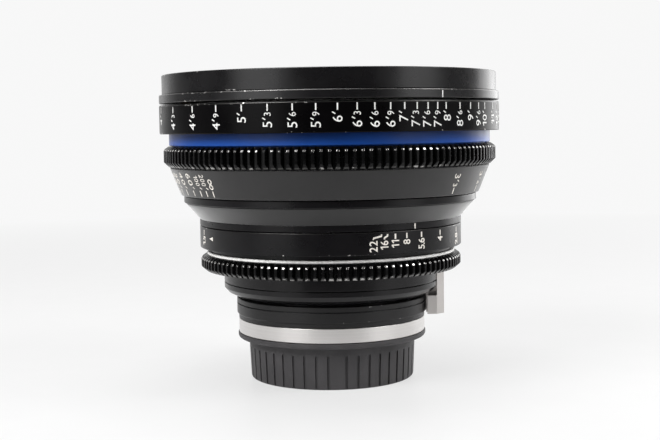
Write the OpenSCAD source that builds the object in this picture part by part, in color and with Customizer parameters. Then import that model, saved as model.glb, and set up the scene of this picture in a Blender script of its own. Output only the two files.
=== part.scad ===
// Cinema prime lens standing on its rear cap: a geared focus ring that drives the optics carrier through
// helical cam grooves, a geared iris ring that drives a leaf iris, and a bayonet mount with a pull-off cap.
// Millimetres, +Z along the optical axis towards the front, origin at the centre of the cap's underside.
// An angle t is measured about +Z from the -Y side, which is the side that carries the scales.

/* [Rear cap] */
// Height of the cap, from the surface it stands on to its rim
cap_h = 16.0; // [14:0.1:20]
// Thickness of the cap's side wall
cap_wall = 1.7; // [1.2:0.1:3]
// Thickness of the cap's floor
cap_floor = 2.0; // [1.2:0.1:4]
// Height of the ribbed part of the cap
cap_rib_h = 11.2; // [6:0.1:12.4]
// How much narrower the cap is at its foot
cap_taper = 0.5; // [0:0.1:0.9]
// Rounding of the cap's foot
cap_round = 0.9; // [0.6:0.1:1.9]
// Height of the rim around the cap's mouth
cap_rim_h = 1.9; // [1.4:0.1:2.4]
// How far the rim stands out past the bayonet flange
cap_rim_out = 0.3; // [0:0.05:0.6]
// Grip grooves in each half of the cap
cap_grooves = 22; // [8:1:24]
// Width of one grip groove
cap_groove_w = 0.85; // [0.3:0.05:1.2]
// Depth of one grip groove
cap_groove_d = 0.55; // [0.2:0.05:0.6]
// Half angle of the plain panel between the two halves of the grip
cap_panel_half_deg = 6; // [4:0.5:10]
// Where the front plain panel lies
cap_panel_deg = 3.3; // [-30:0.1:30]

/* [Bayonet mount] */
// Width of the bayonet flange outside the cap
mount_land = 3.5; // [3:0.1:5]
// Thickness of the bayonet flange
mount_h = 4.8; // [3.5:0.1:7]
// Outside radius of the bayonet's nose
nose_r = 25.0; // [24:0.1:25.6]
// Wall of the bayonet's nose
nose_wall = 2.0; // [1.4:0.1:3]
// Length of the nose behind the flange
nose_h = 6.1; // [5:0.1:8]
// Outside radius of the bayonet lugs
lug_r = 26.6; // [26:0.1:27.4]
// Thickness of one lug
lug_t = 1.5; // [1:0.1:2]
// Distance from the flange face to the lugs
lug_drop = 2.2; // [1.9:0.1:2.8]
// Angle covered by one lug
lug_deg = 50; // [30:1:56]
// Angle covered by one locking tab of the cap
tab_deg = 54; // [20:1:60]
// Thickness of one locking tab of the cap
tab_t = 1.4; // [0.8:0.1:1.6]
// Thickness of the shim under the bayonet
shim_t = 0.2; // [0.1:0.05:0.5]
// Mount screws
mount_screw_n = 4; // [3:1:6]
// Thread radius of the mount screws
mount_screw_r = 1.0; // [0.7:0.1:1.2]
// Thickness of the rear light baffle
baffle_t = 1.0; // [0.6:0.1:1.6]
// Width of the opening in the rear light baffle
baffle_w = 34; // [28:0.5:36]
// Height of the opening in the rear light baffle
baffle_h = 24; // [18:0.5:26]

/* [Rear barrel] */
// Height of the mount adapter
adapter_h = 7.0; // [6:0.1:9]
// Wall of the mount adapter
adapter_wall = 5.3; // [4.6:0.1:6.5]
// Height of the neck above the adapter
neck_h = 0.6; // [0.5:0.1:2]
// Wall of the neck
neck_wall = 3.0; // [2:0.1:4]
// Height of the rear cone
rear_cone_h = 3.1; // [2:0.1:4]
// Height of the rear cylinder below the iris gear
rear_cyl_h = 6.0; // [5.4:0.1:8]
// Shoulder that the iris ring runs on
iris_shoulder = 0.6; // [0.4:0.1:1.2]
// Wall of the barrel under the iris ring
journal_wall = 2.95; // [2.2:0.05:3.6]

/* [Support foot] */
// Width of the foot along the tangent
foot_w = 18; // [14:0.5:24]
// How far the foot stands out past the rear cylinder
foot_out = 1.6; // [1.3:0.1:5]
// Chamfer of the foot's outer edges
foot_chamfer = 2.6; // [0.5:0.1:3]
// Rise of the foot's underside above the adapter's
foot_rise = 0.8; // [0.2:0.1:2]
// Width of the foot's web between its end slots
foot_web_w = 8; // [7:0.1:12]
// Room between the foot and the iris gear above it
foot_room = 0.5; // [0.4:0.1:2]
// Tapping radius of the support thread
foot_thread_r = 2.6; // [2:0.05:3.2]
// Where the foot lies
foot_deg = 90; // [60:1:120]

/* [Iris ring] */
// Module of both drive gears
gear_module = 0.8; // [0.7:0.05:0.9]
// Height of the iris gear
iris_gear_h = 5.3; // [3.8:0.1:6]
// Bevel at the ends of the iris teeth, along the axis
iris_bevel = 1.2; // [0.3:0.1:1.5]
// Rim between the iris teeth and the sleeve
gear_rim = 3.35; // [2.4:0.05:4]
// Height of the open groove above the iris gear
iris_groove_h = 2.6; // [2.2:0.1:4]
// Height of the skirt under the iris scale ring
iris_skirt_h = 1.5; // [0.5:0.1:1.6]
// Wall of the skirt under the iris scale ring
iris_skirt_wall = 2.0; // [1:0.05:3]
// Wall of the bright collar between the iris gear and the skirt
iris_collar_wall = 3.1; // [1:0.05:3.2]
// Height of the iris scale
iris_scale_h = 7.35; // [6:0.05:9]
// Wall of the iris scale ring
iris_scale_wall = 5.35; // [3:0.05:7]
// Gap above the iris scale
iris_gap = 0.25; // [0.2:0.05:0.6]
// Wall of the iris sleeve
sleeve_wall = 3.15; // [2.6:0.05:3.8]
// Turn of the iris ring from the drawn setting to wide open
iris_open_deg = -78; // [-85:1:-60]
// Turn of the iris ring from the drawn setting to fully closed
iris_close_deg = 16; // [10:1:20]

/* [Iris] */
// Leaves of the iris
blade_n = 10; // [9:1:12]
// Thickness of one leaf
blade_t = 0.2; // [0.1:0.02:0.24]
// Height of one leaf's level
blade_pitch = 0.3; // [0.28:0.01:0.4]
// Width of one leaf
blade_w = 7.5; // [7:0.1:7.8]
// Room between the wide open iris and the carrier around it
iris_margin = 14.8; // [14.4:0.1:16]
// Angle that one leaf covers past its pivot
blade_reach = 100; // [90:1:110]
// Radius of the iris at the drawn setting
iris_rest_r = 3.8; // [2:0.1:6]
// Distance from a leaf's pivot to its drive pin
drive_arm = 8.0; // [7:0.1:8.6]
// Direction of the drive pin from the pivot when wide open
drive_deg = 64; // [60:0.5:66]
// Thickness of the iris cam ring
cam_t = 1.4; // [1.2:0.1:2]
// Thickness of the iris pivot plate
pivot_plate_t = 1.2; // [0.8:0.1:2]
// Thickness of the iris lock ring
iris_lock_t = 1.9; // [1:0.1:3]

/* [Housing] */
// Height of the band with the iris index
band_h = 2.1; // [1.5:0.1:4]
// Wall of the band with the iris index
band_wall = 5.0; // [3:0.1:6]
// Height of the lower cone
lower_cone_h = 5.6; // [5:0.1:8]
// Wall of the lower cone at its top
lower_cone_wall = 6.3; // [5.5:0.1:8]
// Thickness of the flange inside the lower cone
housing_flange_t = 2.6; // [2:0.1:3]
// Height of the step ring
step_h = 2.4; // [1.5:0.1:4]
// Wall of the step ring
step_wall = 6.9; // [6:0.1:8]
// Wall of the main barrel
barrel_wall = 3.2; // [2.8:0.1:4]

/* [Focus ring] */
// Gap below the focus ring
cone_gap = 0.2; // [0.15:0.05:0.6]
// Height of the focus cone
cone_h = 9.3; // [7:0.1:12]
// Wall of the focus cone at its foot
cone_wall = 3.65; // [2.4:0.05:6]
// How much wider the focus cone is at its top
cone_flare = 3.5; // [1:0.1:6]
// Rim between the focus teeth and the drum
focus_rim = 7.45; // [6:0.05:9]
// Height of the focus gear
focus_gear_h = 6.9; // [5:0.1:10]
// Bevel at the ends of the focus teeth, along the axis
focus_bevel = 1.4; // [0.5:0.1:2]
// Height of the thin grooves between the focus rings
line_h = 0.27; // [0.1:0.01:0.6]
// Depth of the thin grooves between the focus rings
line_d = 1.4; // [0.5:0.1:1.6]
// Height of the blue ring
blue_h = 3.9; // [2:0.1:6]
// Wall of the blue ring
blue_wall = 7.35; // [4:0.05:9]
// Height of the focus scale
scale_h = 9.6; // [8.4:0.1:14]
// Depth of the focus scale ring from face to drum
scale_depth = 10.45; // [9:0.05:13]
// Outer wall of the focus scale ring
scale_wall = 3.0; // [1.5:0.1:3.4]
// Web of the focus scale ring
scale_web = 3.0; // [2:0.1:3.4]
// Gap above the focus scale
focus_gap = 0.6; // [0.3:0.05:0.8]
// Wall of the focus drum
drum_wall = 4.2; // [3.6:0.1:5]
// Turn of the focus ring from the drawn setting to infinity
focus_far_deg = -101.6; // [-110:0.1:-90]
// Turn of the focus ring from the drawn setting to the near limit
focus_near_deg = 160.4; // [140:0.1:165]
// Travel of the optics carrier over the whole focus turn
focus_travel = 8.9; // [8:0.1:9.2]
// Radius of one cam follower
follower_r = 1.2; // [0.9:0.05:1.3]

/* [Front] */
// Height of the index flange
flange_h = 2.86; // [2.4:0.02:5]
// Height of the front ring
front_h = 6.6; // [5:0.1:10]
// How far the front ring is set back from the flange
front_step = 1.0; // [0:0.1:2]
// Wall of the front ring outside its filter thread
front_wall = 4.5; // [3:0.1:5.5]
// Floor of the front ring
front_floor = 1.5; // [1.2:0.1:2.4]
// Width of the front ring's floor
front_floor_w = 6.5; // [5:0.1:8]
// Screws that hold the front ring
front_screw_n = 6; // [3:1:12]
// Thread radius of the small screws
small_screw_r = 0.8; // [0.6:0.05:0.9]

/* [Optics] */
// Outside radius of the optics carrier in the main barrel
carrier_r = 40.0; // [38:0.1:42]
// Wall of the carrier in the main barrel
carrier_wall = 3.05; // [2.6:0.05:3.6]
// How much narrower the carrier is around the iris
tube_step = 6.6; // [5.5:0.1:8]
// Wall of the carrier around the iris
rear_tube_wall = 1.6; // [1.3:0.05:2.2]
// Length of the carrier above its shoulder
carrier_front_h = 25.0; // [23:0.1:25.6]
// Wall of the front cell around the front element
cell_wall = 4.85; // [3.5:0.05:6]
// Wall of the rear cell
rear_cell_wall = 7.95; // [6:0.05:9]
// Height of the stepped bezel around the front element
bezel_h = 4.6; // [3:0.1:5]

/* [Clearances] */
// Running clearance of turning and sliding fits, on the radius
run_clear = 0.05; // [0.03:0.01:0.08]
// Clearance of pieces that are fixed together, on the radius
fit_clear = 0.05; // [0.02:0.01:0.1]
// End play of turning rings
end_play = 0.1; // [0.06:0.01:0.2]
// Room around pieces that pass each other without touching
free_room = 0.4; // [0.3:0.05:0.6]

/* [Hidden] */
$fn = 96;
face_steps = 240;
// Overlap that keeps joined shapes from only touching
eps = 0.02;
// How far a cutting shape reaches past the face it cuts
over = 1;
// Small bevel of turned edges
edge = 0.2;
// Driver recess of a screw: its sides, and its radius and depth as shares of the shank's radius and the
// head's height
socket_sides = 6;
socket_r_share = 0.75;
socket_d_share = 0.55;
// Head radius of a small screw as a multiple of its shank radius
head_ratio = 1.6;
// How far a long screw reaches into the piece it holds on to
screw_bite = 4;
blade_names = [for (i = [1:blade_n]) str("iris_blade_", i < 10 ? "0" : "", i)];

// Heights of the stack, from the cap's underside up
z_flange_face = cap_h + end_play;
z_mount_top = z_flange_face + mount_h;
z_adapter = z_mount_top + shim_t;
z_neck = z_adapter + adapter_h;
z_rear_cone = z_neck + neck_h;
z_rear_cyl = z_rear_cone + rear_cone_h;
z_shoulder = z_rear_cyl + rear_cyl_h;
z_iris = z_shoulder + end_play;
z_iris_groove = z_iris + iris_gear_h;
z_iris_scale = z_iris_groove + iris_groove_h;
z_iris_top = z_iris_scale + iris_scale_h;
z_band = z_iris_top + iris_gap;
z_lower_cone = z_band + band_h;
z_step = z_lower_cone + lower_cone_h;
z_step_top = z_step + step_h;
z_focus = z_step_top + cone_gap;
z_focus_gear = z_focus + cone_h;
z_blue = z_focus_gear + line_h + focus_gear_h;
z_scale = z_blue + line_h + blue_h;
z_scale_top = z_scale + scale_h;
z_flange = z_scale_top + focus_gap;
z_front = z_flange + flange_h;
z_top = z_front + front_h;

// Radii of the focus end, from the optics carrier outwards
barrel_in = carrier_r + run_clear;
barrel_r = barrel_in + barrel_wall;
drum_in = barrel_r + run_clear;
drum_r = drum_in + drum_wall;
ring_in = drum_r + fit_clear;
cone_r0 = ring_in + cone_wall;
cone_r1 = cone_r0 + cone_flare;
blue_r = ring_in + blue_wall;
scale_r = ring_in + scale_depth;
flange_r = scale_r;
front_r = flange_r - front_step;
thread_r = front_r - front_wall;
front_opening_r = thread_r - front_floor_w;
step_r = barrel_r + fit_clear + step_wall;
lower_cone_r = barrel_r + fit_clear + lower_cone_wall;

// Teeth of the gear that comes nearest to a tip radius
function teeth_for(tip) = round(2 * tip / gear_module) - 2;
// Tip radius of a gear with n teeth
function gear_tip(n) = gear_module * (n + 2) / 2;
tooth_depth_modules = 2.25;
tooth_depth = tooth_depth_modules * gear_module;
focus_teeth = teeth_for(ring_in + focus_rim + tooth_depth);

// Radii of the iris end, from the optics carrier outwards
rear_tube_r = carrier_r - tube_step;
rear_tube_in = rear_tube_r - rear_tube_wall;
iris_open_r = rear_tube_in - iris_margin;
rear_in = rear_tube_r + run_clear;
journal_r = rear_in + journal_wall;
rear_cyl_r = journal_r + iris_shoulder;
sleeve_r = journal_r + run_clear + sleeve_wall;
iris_teeth = teeth_for(sleeve_r + fit_clear + gear_rim + tooth_depth);
iris_scale_r = sleeve_r + fit_clear + iris_scale_wall;
band_in = sleeve_r + free_room;
band_r = band_in + band_wall;

// Radii of the rear end, from the bayonet lugs to the cap, and from the mount in to the rear doublet
cap_in = lug_r + free_room;
cap_r = cap_in + cap_wall;
mount_r = cap_r + mount_land;
adapter_step = 0.6;
adapter_step_h = 1.2;
adapter_r = mount_r + adapter_step;
adapter_line_drop = 2.0;
adapter_line_z = z_neck - adapter_line_drop;
adapter_line_h = 0.45;
adapter_line_d = 0.5;
rear_cone_r = adapter_r - edge;
tail_in = adapter_r - adapter_wall;
neck_r = tail_in + neck_wall;
tail_room = 1.5;
rear_cell_r = tail_in - tail_room;
doublet_r = rear_cell_r - rear_cell_wall - fit_clear;

// Focus motion: the carrier climbs while the focus ring turns to the near limit
climb = focus_travel / (focus_near_deg - focus_far_deg);
carrier_up = climb * focus_near_deg;
carrier_down = climb * focus_far_deg;

// Heights inside the carrier, from the iris cam ring outwards
cam_drop = 2.85;
z_cam = z_iris_top - cam_drop;
z_cam_top = z_cam + cam_t;
z_blades = z_cam_top + end_play * 2;
z_pivot_plate = z_blades + blade_n * blade_pitch;
z_iris_lock = z_pivot_plate + pivot_plate_t;
z_front_cell = z_iris_lock + iris_lock_t + end_play * 2;
z_rear_cell_top = z_cam - end_play;
rear_flange_t = 3.4;
rear_cell_l = 24.8;
z_rear_cell = z_rear_cell_top - rear_cell_l;
carrier_lip = 2.8;
carrier_lip_t = 1.0;
z_carrier = z_rear_cell_top - rear_flange_t - carrier_lip_t;
z_carrier_step = z_step - carrier_down + free_room;
carrier_web_t = 2.5;
z_carrier_web = z_carrier_step + carrier_web_t;
z_carrier_top = z_carrier_step + carrier_front_h;
carrier_in = carrier_r - carrier_wall;
cell_r = carrier_in - fit_clear;
cell_neck_r = rear_tube_in - free_room * 2;
follower_rise = 11;
z_follower = z_carrier_step + follower_rise;
follower_n = 3;
follower_deg = 60;
follower_tip = 1.75;
groove_room = 0.12;

// Iris geometry: a leaf is an arc strip that turns in about a pivot outside the strip
pivot_ear_r = 1.5;
pivot_r = iris_open_r + blade_w + pivot_ear_r;
pivot_pin_r = 0.6;
drive_pin_r = 0.4;
drive_ear_r = 1.0;
cam_r = rear_tube_in - free_room / 2;
cam_slot_room = 0.15;
cam_slot_half = drive_pin_r + cam_slot_room;
blade_rest_deg = 2 * asin((iris_open_r - iris_rest_r) / (2 * pivot_r));
blade_ratio = -blade_rest_deg / iris_open_deg;
blade_turn = blade_ratio * (iris_close_deg - iris_open_deg);
iris_pin_r = 0.8;
iris_pin_deg = 180;
iris_pin_z = z_cam + cam_t / 2;
sleeve_top = z_step - housing_flange_t - end_play * 3;

// A point at radius r and angle t
function polar(r, t) = [r * sin(t), -r * cos(t)];
// Sag of a spherical face of radius c at distance r from the axis
function sag(c, r) = abs(c) - sqrt(c * c - r * r);
// Corner points of a ring's section with bevelled outer edges
function ring_section(ro, ri, z0, z1, b) =
    [[ri, z0], [ro - b, z0], [ro, z0 + b], [ro, z1 - b], [ro - b, z1], [ri, z1]];

// Solid of revolution from its section
module turned(section) {
    rotate_extrude() polygon(section);
}

// Ring with bevelled outer edges
module ring(ro, ri, z0, z1, b = edge) {
    turned(ring_section(ro, ri, z0, z1, b));
}

// Part of a ring between two angles
module ring_sector(ro, ri, z0, z1, t0, t1) {
    rotate([0, 0, t0 - 90]) rotate_extrude(angle = t1 - t0)
        translate([ri, z0]) square([ro - ri, z1 - z0]);
}

// Copies of the children at n even angles, starting from t0
module around(n, t0 = 0) {
    for (i = [0:n - 1]) rotate([0, 0, t0 + i * 360 / n]) children();
}

// Upright cylinder at radius r on the -Y side
module post(r, rr, z0, z1) {
    translate([0, -r, z0]) cylinder(h = z1 - z0, r = rr);
}

// Radial cylinder on the -Y side, from radius r0 to r1
module spoke(rr, z, r0, r1) {
    translate([0, -r0, z]) rotate([90, 0, 0]) cylinder(h = r1 - r0, r = rr);
}

// Half width of a tooth at its tip and at its root, as shares of the pitch
half_tip = 0.14;
half_root = 0.36;
// Outline of a toothed wheel with straight-flanked teeth
function gear_outline(n) = let (
        tip = gear_tip(n),
        root = tip - tooth_depth)
    [for (i = [0:n - 1], p = [[root, -half_root], [tip, -half_tip], [tip, half_tip], [root, half_root]])
        polar(p[0], (i + p[1]) * 360 / n)];

// Facet where the tip of a tooth meets its lower end bevel
tooth_corner = 0.25;
// Crown at the upper end of a tooth: its height, how far its upper edge lies in from the tip
// and how far that edge lies below the end of the tooth
crown_h = 0.6;
crown_in = 0.35;
crown_drop = 0.85;
// Toothed ring whose teeth run out in a bevel below and in a crown above
module toothed_ring(n, ri, z0, z1, bevel) {
    tip = gear_tip(n);
    root = tip - tooth_depth;
    facet = bevel + tooth_corner + edge;
    crown = crown_drop + crown_h * (1 + edge / crown_in);
    intersection() {
        translate([0, 0, z0]) linear_extrude(z1 - z0) difference() {
            polygon(gear_outline(n));
            circle(r = ri);
        }
        turned([[ri - over, z0], [root + edge, z0], [tip - tooth_corner, z0 + bevel],
            [tip + edge, z0 + facet], [tip + edge, z1 - crown], [tip - crown_in, z1 - crown_drop],
            [root + edge, z1], [ri - over, z1]]);
    }
}

// Screw: a plain head with a driver recess, head face up at height z
module screw(sr, head_r, head_h, z, length) {
    difference() {
        union() {
            translate([0, 0, z - head_h]) cylinder(h = head_h, r = head_r);
            translate([0, 0, z - length]) cylinder(h = length - head_h / 2, r = sr);
        }
        translate([0, 0, z - head_h * socket_d_share])
            cylinder(h = head_h, r = sr * socket_r_share, $fn = socket_sides);
    }
}

// Room for one of those screws, with its head's counterbore
module screw_room(sr, head_r, head_h, z, length) {
    translate([0, 0, z - head_h - eps]) cylinder(h = head_h * 2, r = head_r + fit_clear);
    translate([0, 0, z - length - eps]) cylinder(h = length, r = sr + fit_clear);
}

// Lens element between a front face at height zf and a rear face at zr. A positive radius falls away from
// the front at its rim and a negative one rises. rf and rr are the clear radii of hollow faces.
module element(r, zf, cf, rf, zr, cr, rr) {
    $fn = face_steps;
    z_high = cf > 0 ? zf : zf + sag(cf, rf);
    z_low = cr > 0 ? zr - sag(cr, rr) : zr;
    difference() {
        intersection() {
            translate([0, 0, z_low]) cylinder(h = z_high - z_low, r = r);
            if (cf > 0) translate([0, 0, zf - cf]) sphere(r = cf);
            if (cr < 0) translate([0, 0, zr - cr]) sphere(r = -cr);
        }
        if (cf < 0) translate([0, 0, zf - cf]) sphere(r = -cf);
        if (cr > 0) translate([0, 0, zr - cr]) sphere(r = cr);
    }
}

// Front end of the fixed barrel: one kind of screw holds the front ring on the flange, and the flange on
// the main barrel
front_screw_ring = front_opening_r + front_floor_w / 2;
front_head_r = small_screw_r * head_ratio;
front_head_h = 0.9;
front_screw_l = 3.2;
flange_screw_n = 4;
flange_screw_deg = 45;
flange_screw_ring = (barrel_in + barrel_r) / 2;
thread_pitch = 0.75;
thread_start = 0.8;
thread_depth = 0.3;
thread_turns = floor((front_h - front_floor - thread_start) / thread_pitch);

// Rooms of the screws in the front ring's floor
module front_ring_screw_rooms() {
    around(front_screw_n) translate([0, -front_screw_ring, 0])
        screw_room(small_screw_r, front_head_r, front_head_h, z_front + front_floor, front_screw_l);
}

// Rooms of the screws in the flange's lip
module flange_screw_rooms() {
    around(flange_screw_n, flange_screw_deg) translate([0, -flange_screw_ring, 0])
        screw_room(small_screw_r, front_head_r, front_head_h, z_front, front_screw_l);
}

// The filter thread is drawn as shallow ring grooves
module front_ring() {
    color([0.11, 0.1, 0.11]) difference() {
        turned([[front_opening_r, z_front], [front_r - edge, z_front], [front_r, z_front + edge],
            [front_r, z_top - edge], [front_r - edge, z_top], [thread_r + edge, z_top],
            [thread_r, z_top - edge], [thread_r, z_front + front_floor],
            [front_opening_r, z_front + front_floor]]);
        for (i = [0:thread_turns - 1])
            ring(thread_r + thread_depth, thread_r - over,
                z_top - thread_start - i * thread_pitch - thread_pitch / 2,
                z_top - thread_start - i * thread_pitch, 0);
        front_ring_screw_rooms();
    }
}

module front_screws() {
    color([0.2, 0.2, 0.21]) {
        around(front_screw_n) translate([0, -front_screw_ring, 0])
            screw(small_screw_r, front_head_r, front_head_h, z_front + front_floor, front_screw_l);
        around(flange_screw_n, flange_screw_deg) translate([0, -flange_screw_ring, 0])
            screw(small_screw_r, front_head_r, front_head_h, z_front, front_screw_l);
    }
}

flange_lip_t = 1.5;
flange_lip_z = z_front - flange_lip_t;
flange_in = carrier_r + free_room + edge;

module index_flange() {
    color([0.1, 0.1, 0.11]) difference() {
        turned([[barrel_r + fit_clear, z_flange], [flange_r - edge, z_flange], [flange_r, z_flange + edge],
            [flange_r, z_front - edge], [flange_r - edge, z_front], [flange_in, z_front],
            [flange_in, flange_lip_z], [barrel_r + fit_clear, flange_lip_z]]);
        front_ring_screw_rooms();
        flange_screw_rooms();
    }
}

// Focus stop: a pin on the focus ring meets the ends of a fixed block
stop_pin_r = 1.5;
stop_in = drum_r + free_room * 3;
stop_out = scale_r - scale_wall - free_room * 2;
stop_mid = (stop_in + stop_out) / 2;
stop_pin_deg = 0;
stop_play_deg = 0.6;
stop_pin_half = asin(stop_pin_r / stop_mid);
stop_first_deg = stop_pin_deg + focus_near_deg + stop_pin_half + stop_play_deg;
stop_last_deg = stop_pin_deg + focus_far_deg + 360 - stop_pin_half - stop_play_deg;
ring_head_h = 1.2;
z_stop_pin_top = z_scale_top - free_room * 2;
z_stop_block = z_scale + scale_web + ring_head_h + free_room;

module focus_stop_block() {
    color([0.6, 0.55, 0.4])
        ring_sector(stop_out, stop_in, z_stop_block, z_flange, stop_first_deg, stop_last_deg);
}

module focus_stop_pin() {
    color([0.6, 0.6, 0.62]) rotate([0, 0, stop_pin_deg])
        post(stop_mid, stop_pin_r, z_scale + scale_web / 2, z_stop_pin_top);
}

module main_barrel() {
    color([0.35, 0.35, 0.37]) difference() {
        ring(barrel_r, barrel_in, z_step, flange_lip_z, 0);
        around(follower_n, follower_deg) axial_slot(follower_r + run_clear, barrel_in - over,
            barrel_r + over, z_follower + carrier_down, z_follower + carrier_up);
        flange_screw_rooms();
        housing_screw_places() housing_screw_room();
    }
}

// Straight slot along the axis with round ends, cut radially from r0 to r1
module axial_slot(half, r0, r1, z0, z1) {
    spoke(half, z0, r0, r1);
    spoke(half, z1, r0, r1);
    translate([-half, -r1, z0]) cube([half * 2, r1 - r0, z1 - z0]);
}

washer_t = 0.6;
washer_w = 3.4;

// One washer under the flange and one on the step ring
module thrust_washers() {
    color([0.85, 0.85, 0.8]) for (z = [z_flange - washer_t, z_step_top])
        ring(drum_in + washer_w, barrel_r + fit_clear, z, z + washer_t, 0);
}

module step_ring() {
    color([0.07, 0.06, 0.07]) ring(step_r, barrel_r + fit_clear, z_step, z_step_top);
}

// Housing: one set of screws clamps the lower cone, the rear barrel's flange and the main barrel
housing_screw_n = 6;
housing_screw_deg = 15;
housing_screw_ring = (barrel_in + barrel_r) / 2;
housing_head_r = small_screw_r * head_ratio;
housing_head_h = 1.0;
housing_screw_l = lower_cone_h + screw_bite;
z_housing_flange = z_step - housing_flange_t;

module housing_screw_places() {
    around(housing_screw_n, housing_screw_deg) translate([0, -housing_screw_ring, 0]) children();
}

module housing_screw_room() {
    translate([0, 0, z_lower_cone - eps])
        cylinder(h = housing_head_h + 2 * eps, r = housing_head_r + fit_clear);
    translate([0, 0, z_lower_cone]) cylinder(h = housing_screw_l + eps, r = small_screw_r + fit_clear);
}

module housing_screws() {
    color([0.5, 0.5, 0.52]) housing_screw_places()
        translate([0, 0, z_lower_cone * 2 + eps]) mirror([0, 0, 1])
            screw(small_screw_r, housing_head_r, housing_head_h, z_lower_cone, housing_screw_l);
}

module lower_cone_ring() {
    color([0.27, 0.26, 0.26]) difference() {
        turned([[band_in, z_lower_cone], [band_r, z_lower_cone], [lower_cone_r, z_step - edge],
            [lower_cone_r - edge, z_step], [barrel_r + fit_clear, z_step],
            [barrel_r + fit_clear, z_housing_flange], [band_in, z_housing_flange]]);
        housing_screw_places() housing_screw_room();
    }
}

module iris_index_band() {
    color([0.07, 0.07, 0.08]) ring(band_r, band_in, z_band, z_lower_cone, edge / 2);
}

// Rear barrel: neck, bent cone and cylinder outside, a journal for the iris ring, and the carrier's guide
window_margin = 0.35;
iris_pin_half = asin((iris_pin_r + window_margin) / rear_in);
iris_stop_pin_r = 1.0;
iris_stop_deg = 60;
iris_stop_z = z_iris + iris_gear_h / 2;
iris_stop_depth = 1.8;
rear_line_rise = 1.6;
rear_line_z = z_rear_cyl + rear_line_rise;
rear_line_d = 0.7;
rear_line_h = 0.45;
rear_bend_in = 1.3;
rear_bend_drop = 1.5;
z_guide = z_carrier + carrier_down - free_room;

module rear_barrel() {
    color([0.1, 0.1, 0.11]) difference() {
        turned([[tail_in, z_neck], [neck_r, z_neck], [neck_r, z_rear_cone], [rear_cone_r, z_rear_cone],
            [rear_cyl_r - rear_bend_in, z_rear_cyl - rear_bend_drop], [rear_cyl_r, z_rear_cyl],
            [rear_cyl_r, rear_line_z], [rear_cyl_r - rear_line_d, rear_line_z],
            [rear_cyl_r - rear_line_d, rear_line_z + rear_line_h], [rear_cyl_r, rear_line_z + rear_line_h],
            [rear_cyl_r, z_shoulder], [journal_r, z_shoulder], [journal_r, z_housing_flange],
            [barrel_r, z_housing_flange], [barrel_r, z_step], [rear_in, z_step], [rear_in, z_guide],
            [tail_in, z_guide]]);
        ring_sector(journal_r + over, rear_in - over,
            iris_pin_z + carrier_down - iris_pin_r - window_margin,
            iris_pin_z + carrier_up + iris_pin_r + window_margin,
            iris_pin_deg + iris_open_deg - iris_pin_half, iris_pin_deg + iris_close_deg + iris_pin_half);
        rotate([0, 0, iris_stop_deg])
            spoke(iris_stop_pin_r + fit_clear, iris_stop_z, rear_in - over, journal_r + over);
        housing_screw_places() housing_screw_room();
        foot_screw_places() foot_screw_room();
    }
}

module iris_stop_pin() {
    color([0.6, 0.6, 0.62]) rotate([0, 0, iris_stop_deg])
        spoke(iris_stop_pin_r, iris_stop_z, rear_in + edge, journal_r + iris_stop_depth - free_room);
}

module mount_adapter() {
    color([0.16, 0.16, 0.16]) difference() {
        turned([[tail_in, z_adapter], [mount_r, z_adapter], [mount_r, z_adapter + adapter_step_h],
            [adapter_r, z_adapter + adapter_step_h + adapter_step], [adapter_r, adapter_line_z],
            [adapter_r - adapter_line_d, adapter_line_z],
            [adapter_r - adapter_line_d, adapter_line_z + adapter_line_h],
            [adapter_r, adapter_line_z + adapter_line_h], [adapter_r, z_neck - edge],
            [adapter_r - edge, z_neck], [tail_in, z_neck]]);
        mount_screw_places() mount_screw_room();
        rotate([0, 0, mount_dot_deg]) spoke(mount_dot_r + fit_clear, mount_dot_z,
            adapter_r - mount_dot_depth, adapter_r + over);
    }
}

mount_dot_r = 1.4;
mount_dot_deg = 215;
mount_dot_rise = 3.6;
mount_dot_z = z_adapter + mount_dot_rise;
mount_dot_depth = 0.8;
mount_dot_proud = 0.15;

module mount_index_dot() {
    color([0.7, 0.05, 0.05]) rotate([0, 0, mount_dot_deg])
        spoke(mount_dot_r, mount_dot_z, adapter_r - mount_dot_depth, adapter_r + mount_dot_proud);
}

mount_screw_ring = (cap_r + mount_r) / 2;
mount_screw_deg = 45;
mount_head_r = 1.45;
mount_head_h = 1.1;
mount_screw_l = mount_h + screw_bite;

module mount_screw_places() {
    around(mount_screw_n, mount_screw_deg) translate([0, -mount_screw_ring, 0]) children();
}

module mount_screw_room() {
    translate([0, 0, z_flange_face - eps])
        cylinder(h = mount_head_h + 2 * eps, r = mount_head_r + fit_clear);
    translate([0, 0, z_flange_face]) cylinder(h = mount_screw_l + eps, r = mount_screw_r + fit_clear);
}

shim_set = 0.6;

module mount_shim() {
    color([0.75, 0.6, 0.3]) difference() {
        ring(mount_r - shim_set, tail_in, z_mount_top, z_adapter, 0);
        mount_screw_places() mount_screw_room();
    }
}

nose_in = nose_r - nose_wall;
baffle_seat = 1.4;
baffle_drop = 2.7;
baffle_r = nose_in + baffle_seat;
z_baffle = z_mount_top - baffle_drop;
z_nose = z_flange_face - nose_h;
z_lug_top = z_flange_face - lug_drop;
lug_n = 3;
lock_hole_r = 1.3;
lock_hole_deg = 0;
lock_hole_depth = 2.5;

module bayonet_mount() {
    color([0.77, 0.75, 0.74]) difference() {
        union() {
            turned([[nose_in, z_nose], [nose_r, z_nose], [nose_r, z_flange_face],
                [mount_r - edge, z_flange_face], [mount_r, z_flange_face + edge], [mount_r, z_mount_top],
                [baffle_r + fit_clear, z_mount_top], [baffle_r + fit_clear, z_baffle],
                [nose_in, z_baffle]]);
            around(lug_n) ring_sector(lug_r, nose_r - nose_wall / 2, z_lug_top - lug_t, z_lug_top,
                -lug_deg / 2, lug_deg / 2);
        }
        mount_screw_places() mount_screw_room();
        rotate([0, 0, lock_hole_deg])
            post(mount_screw_ring, lock_hole_r, z_flange_face - eps, z_flange_face + lock_hole_depth);
    }
}

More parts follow.
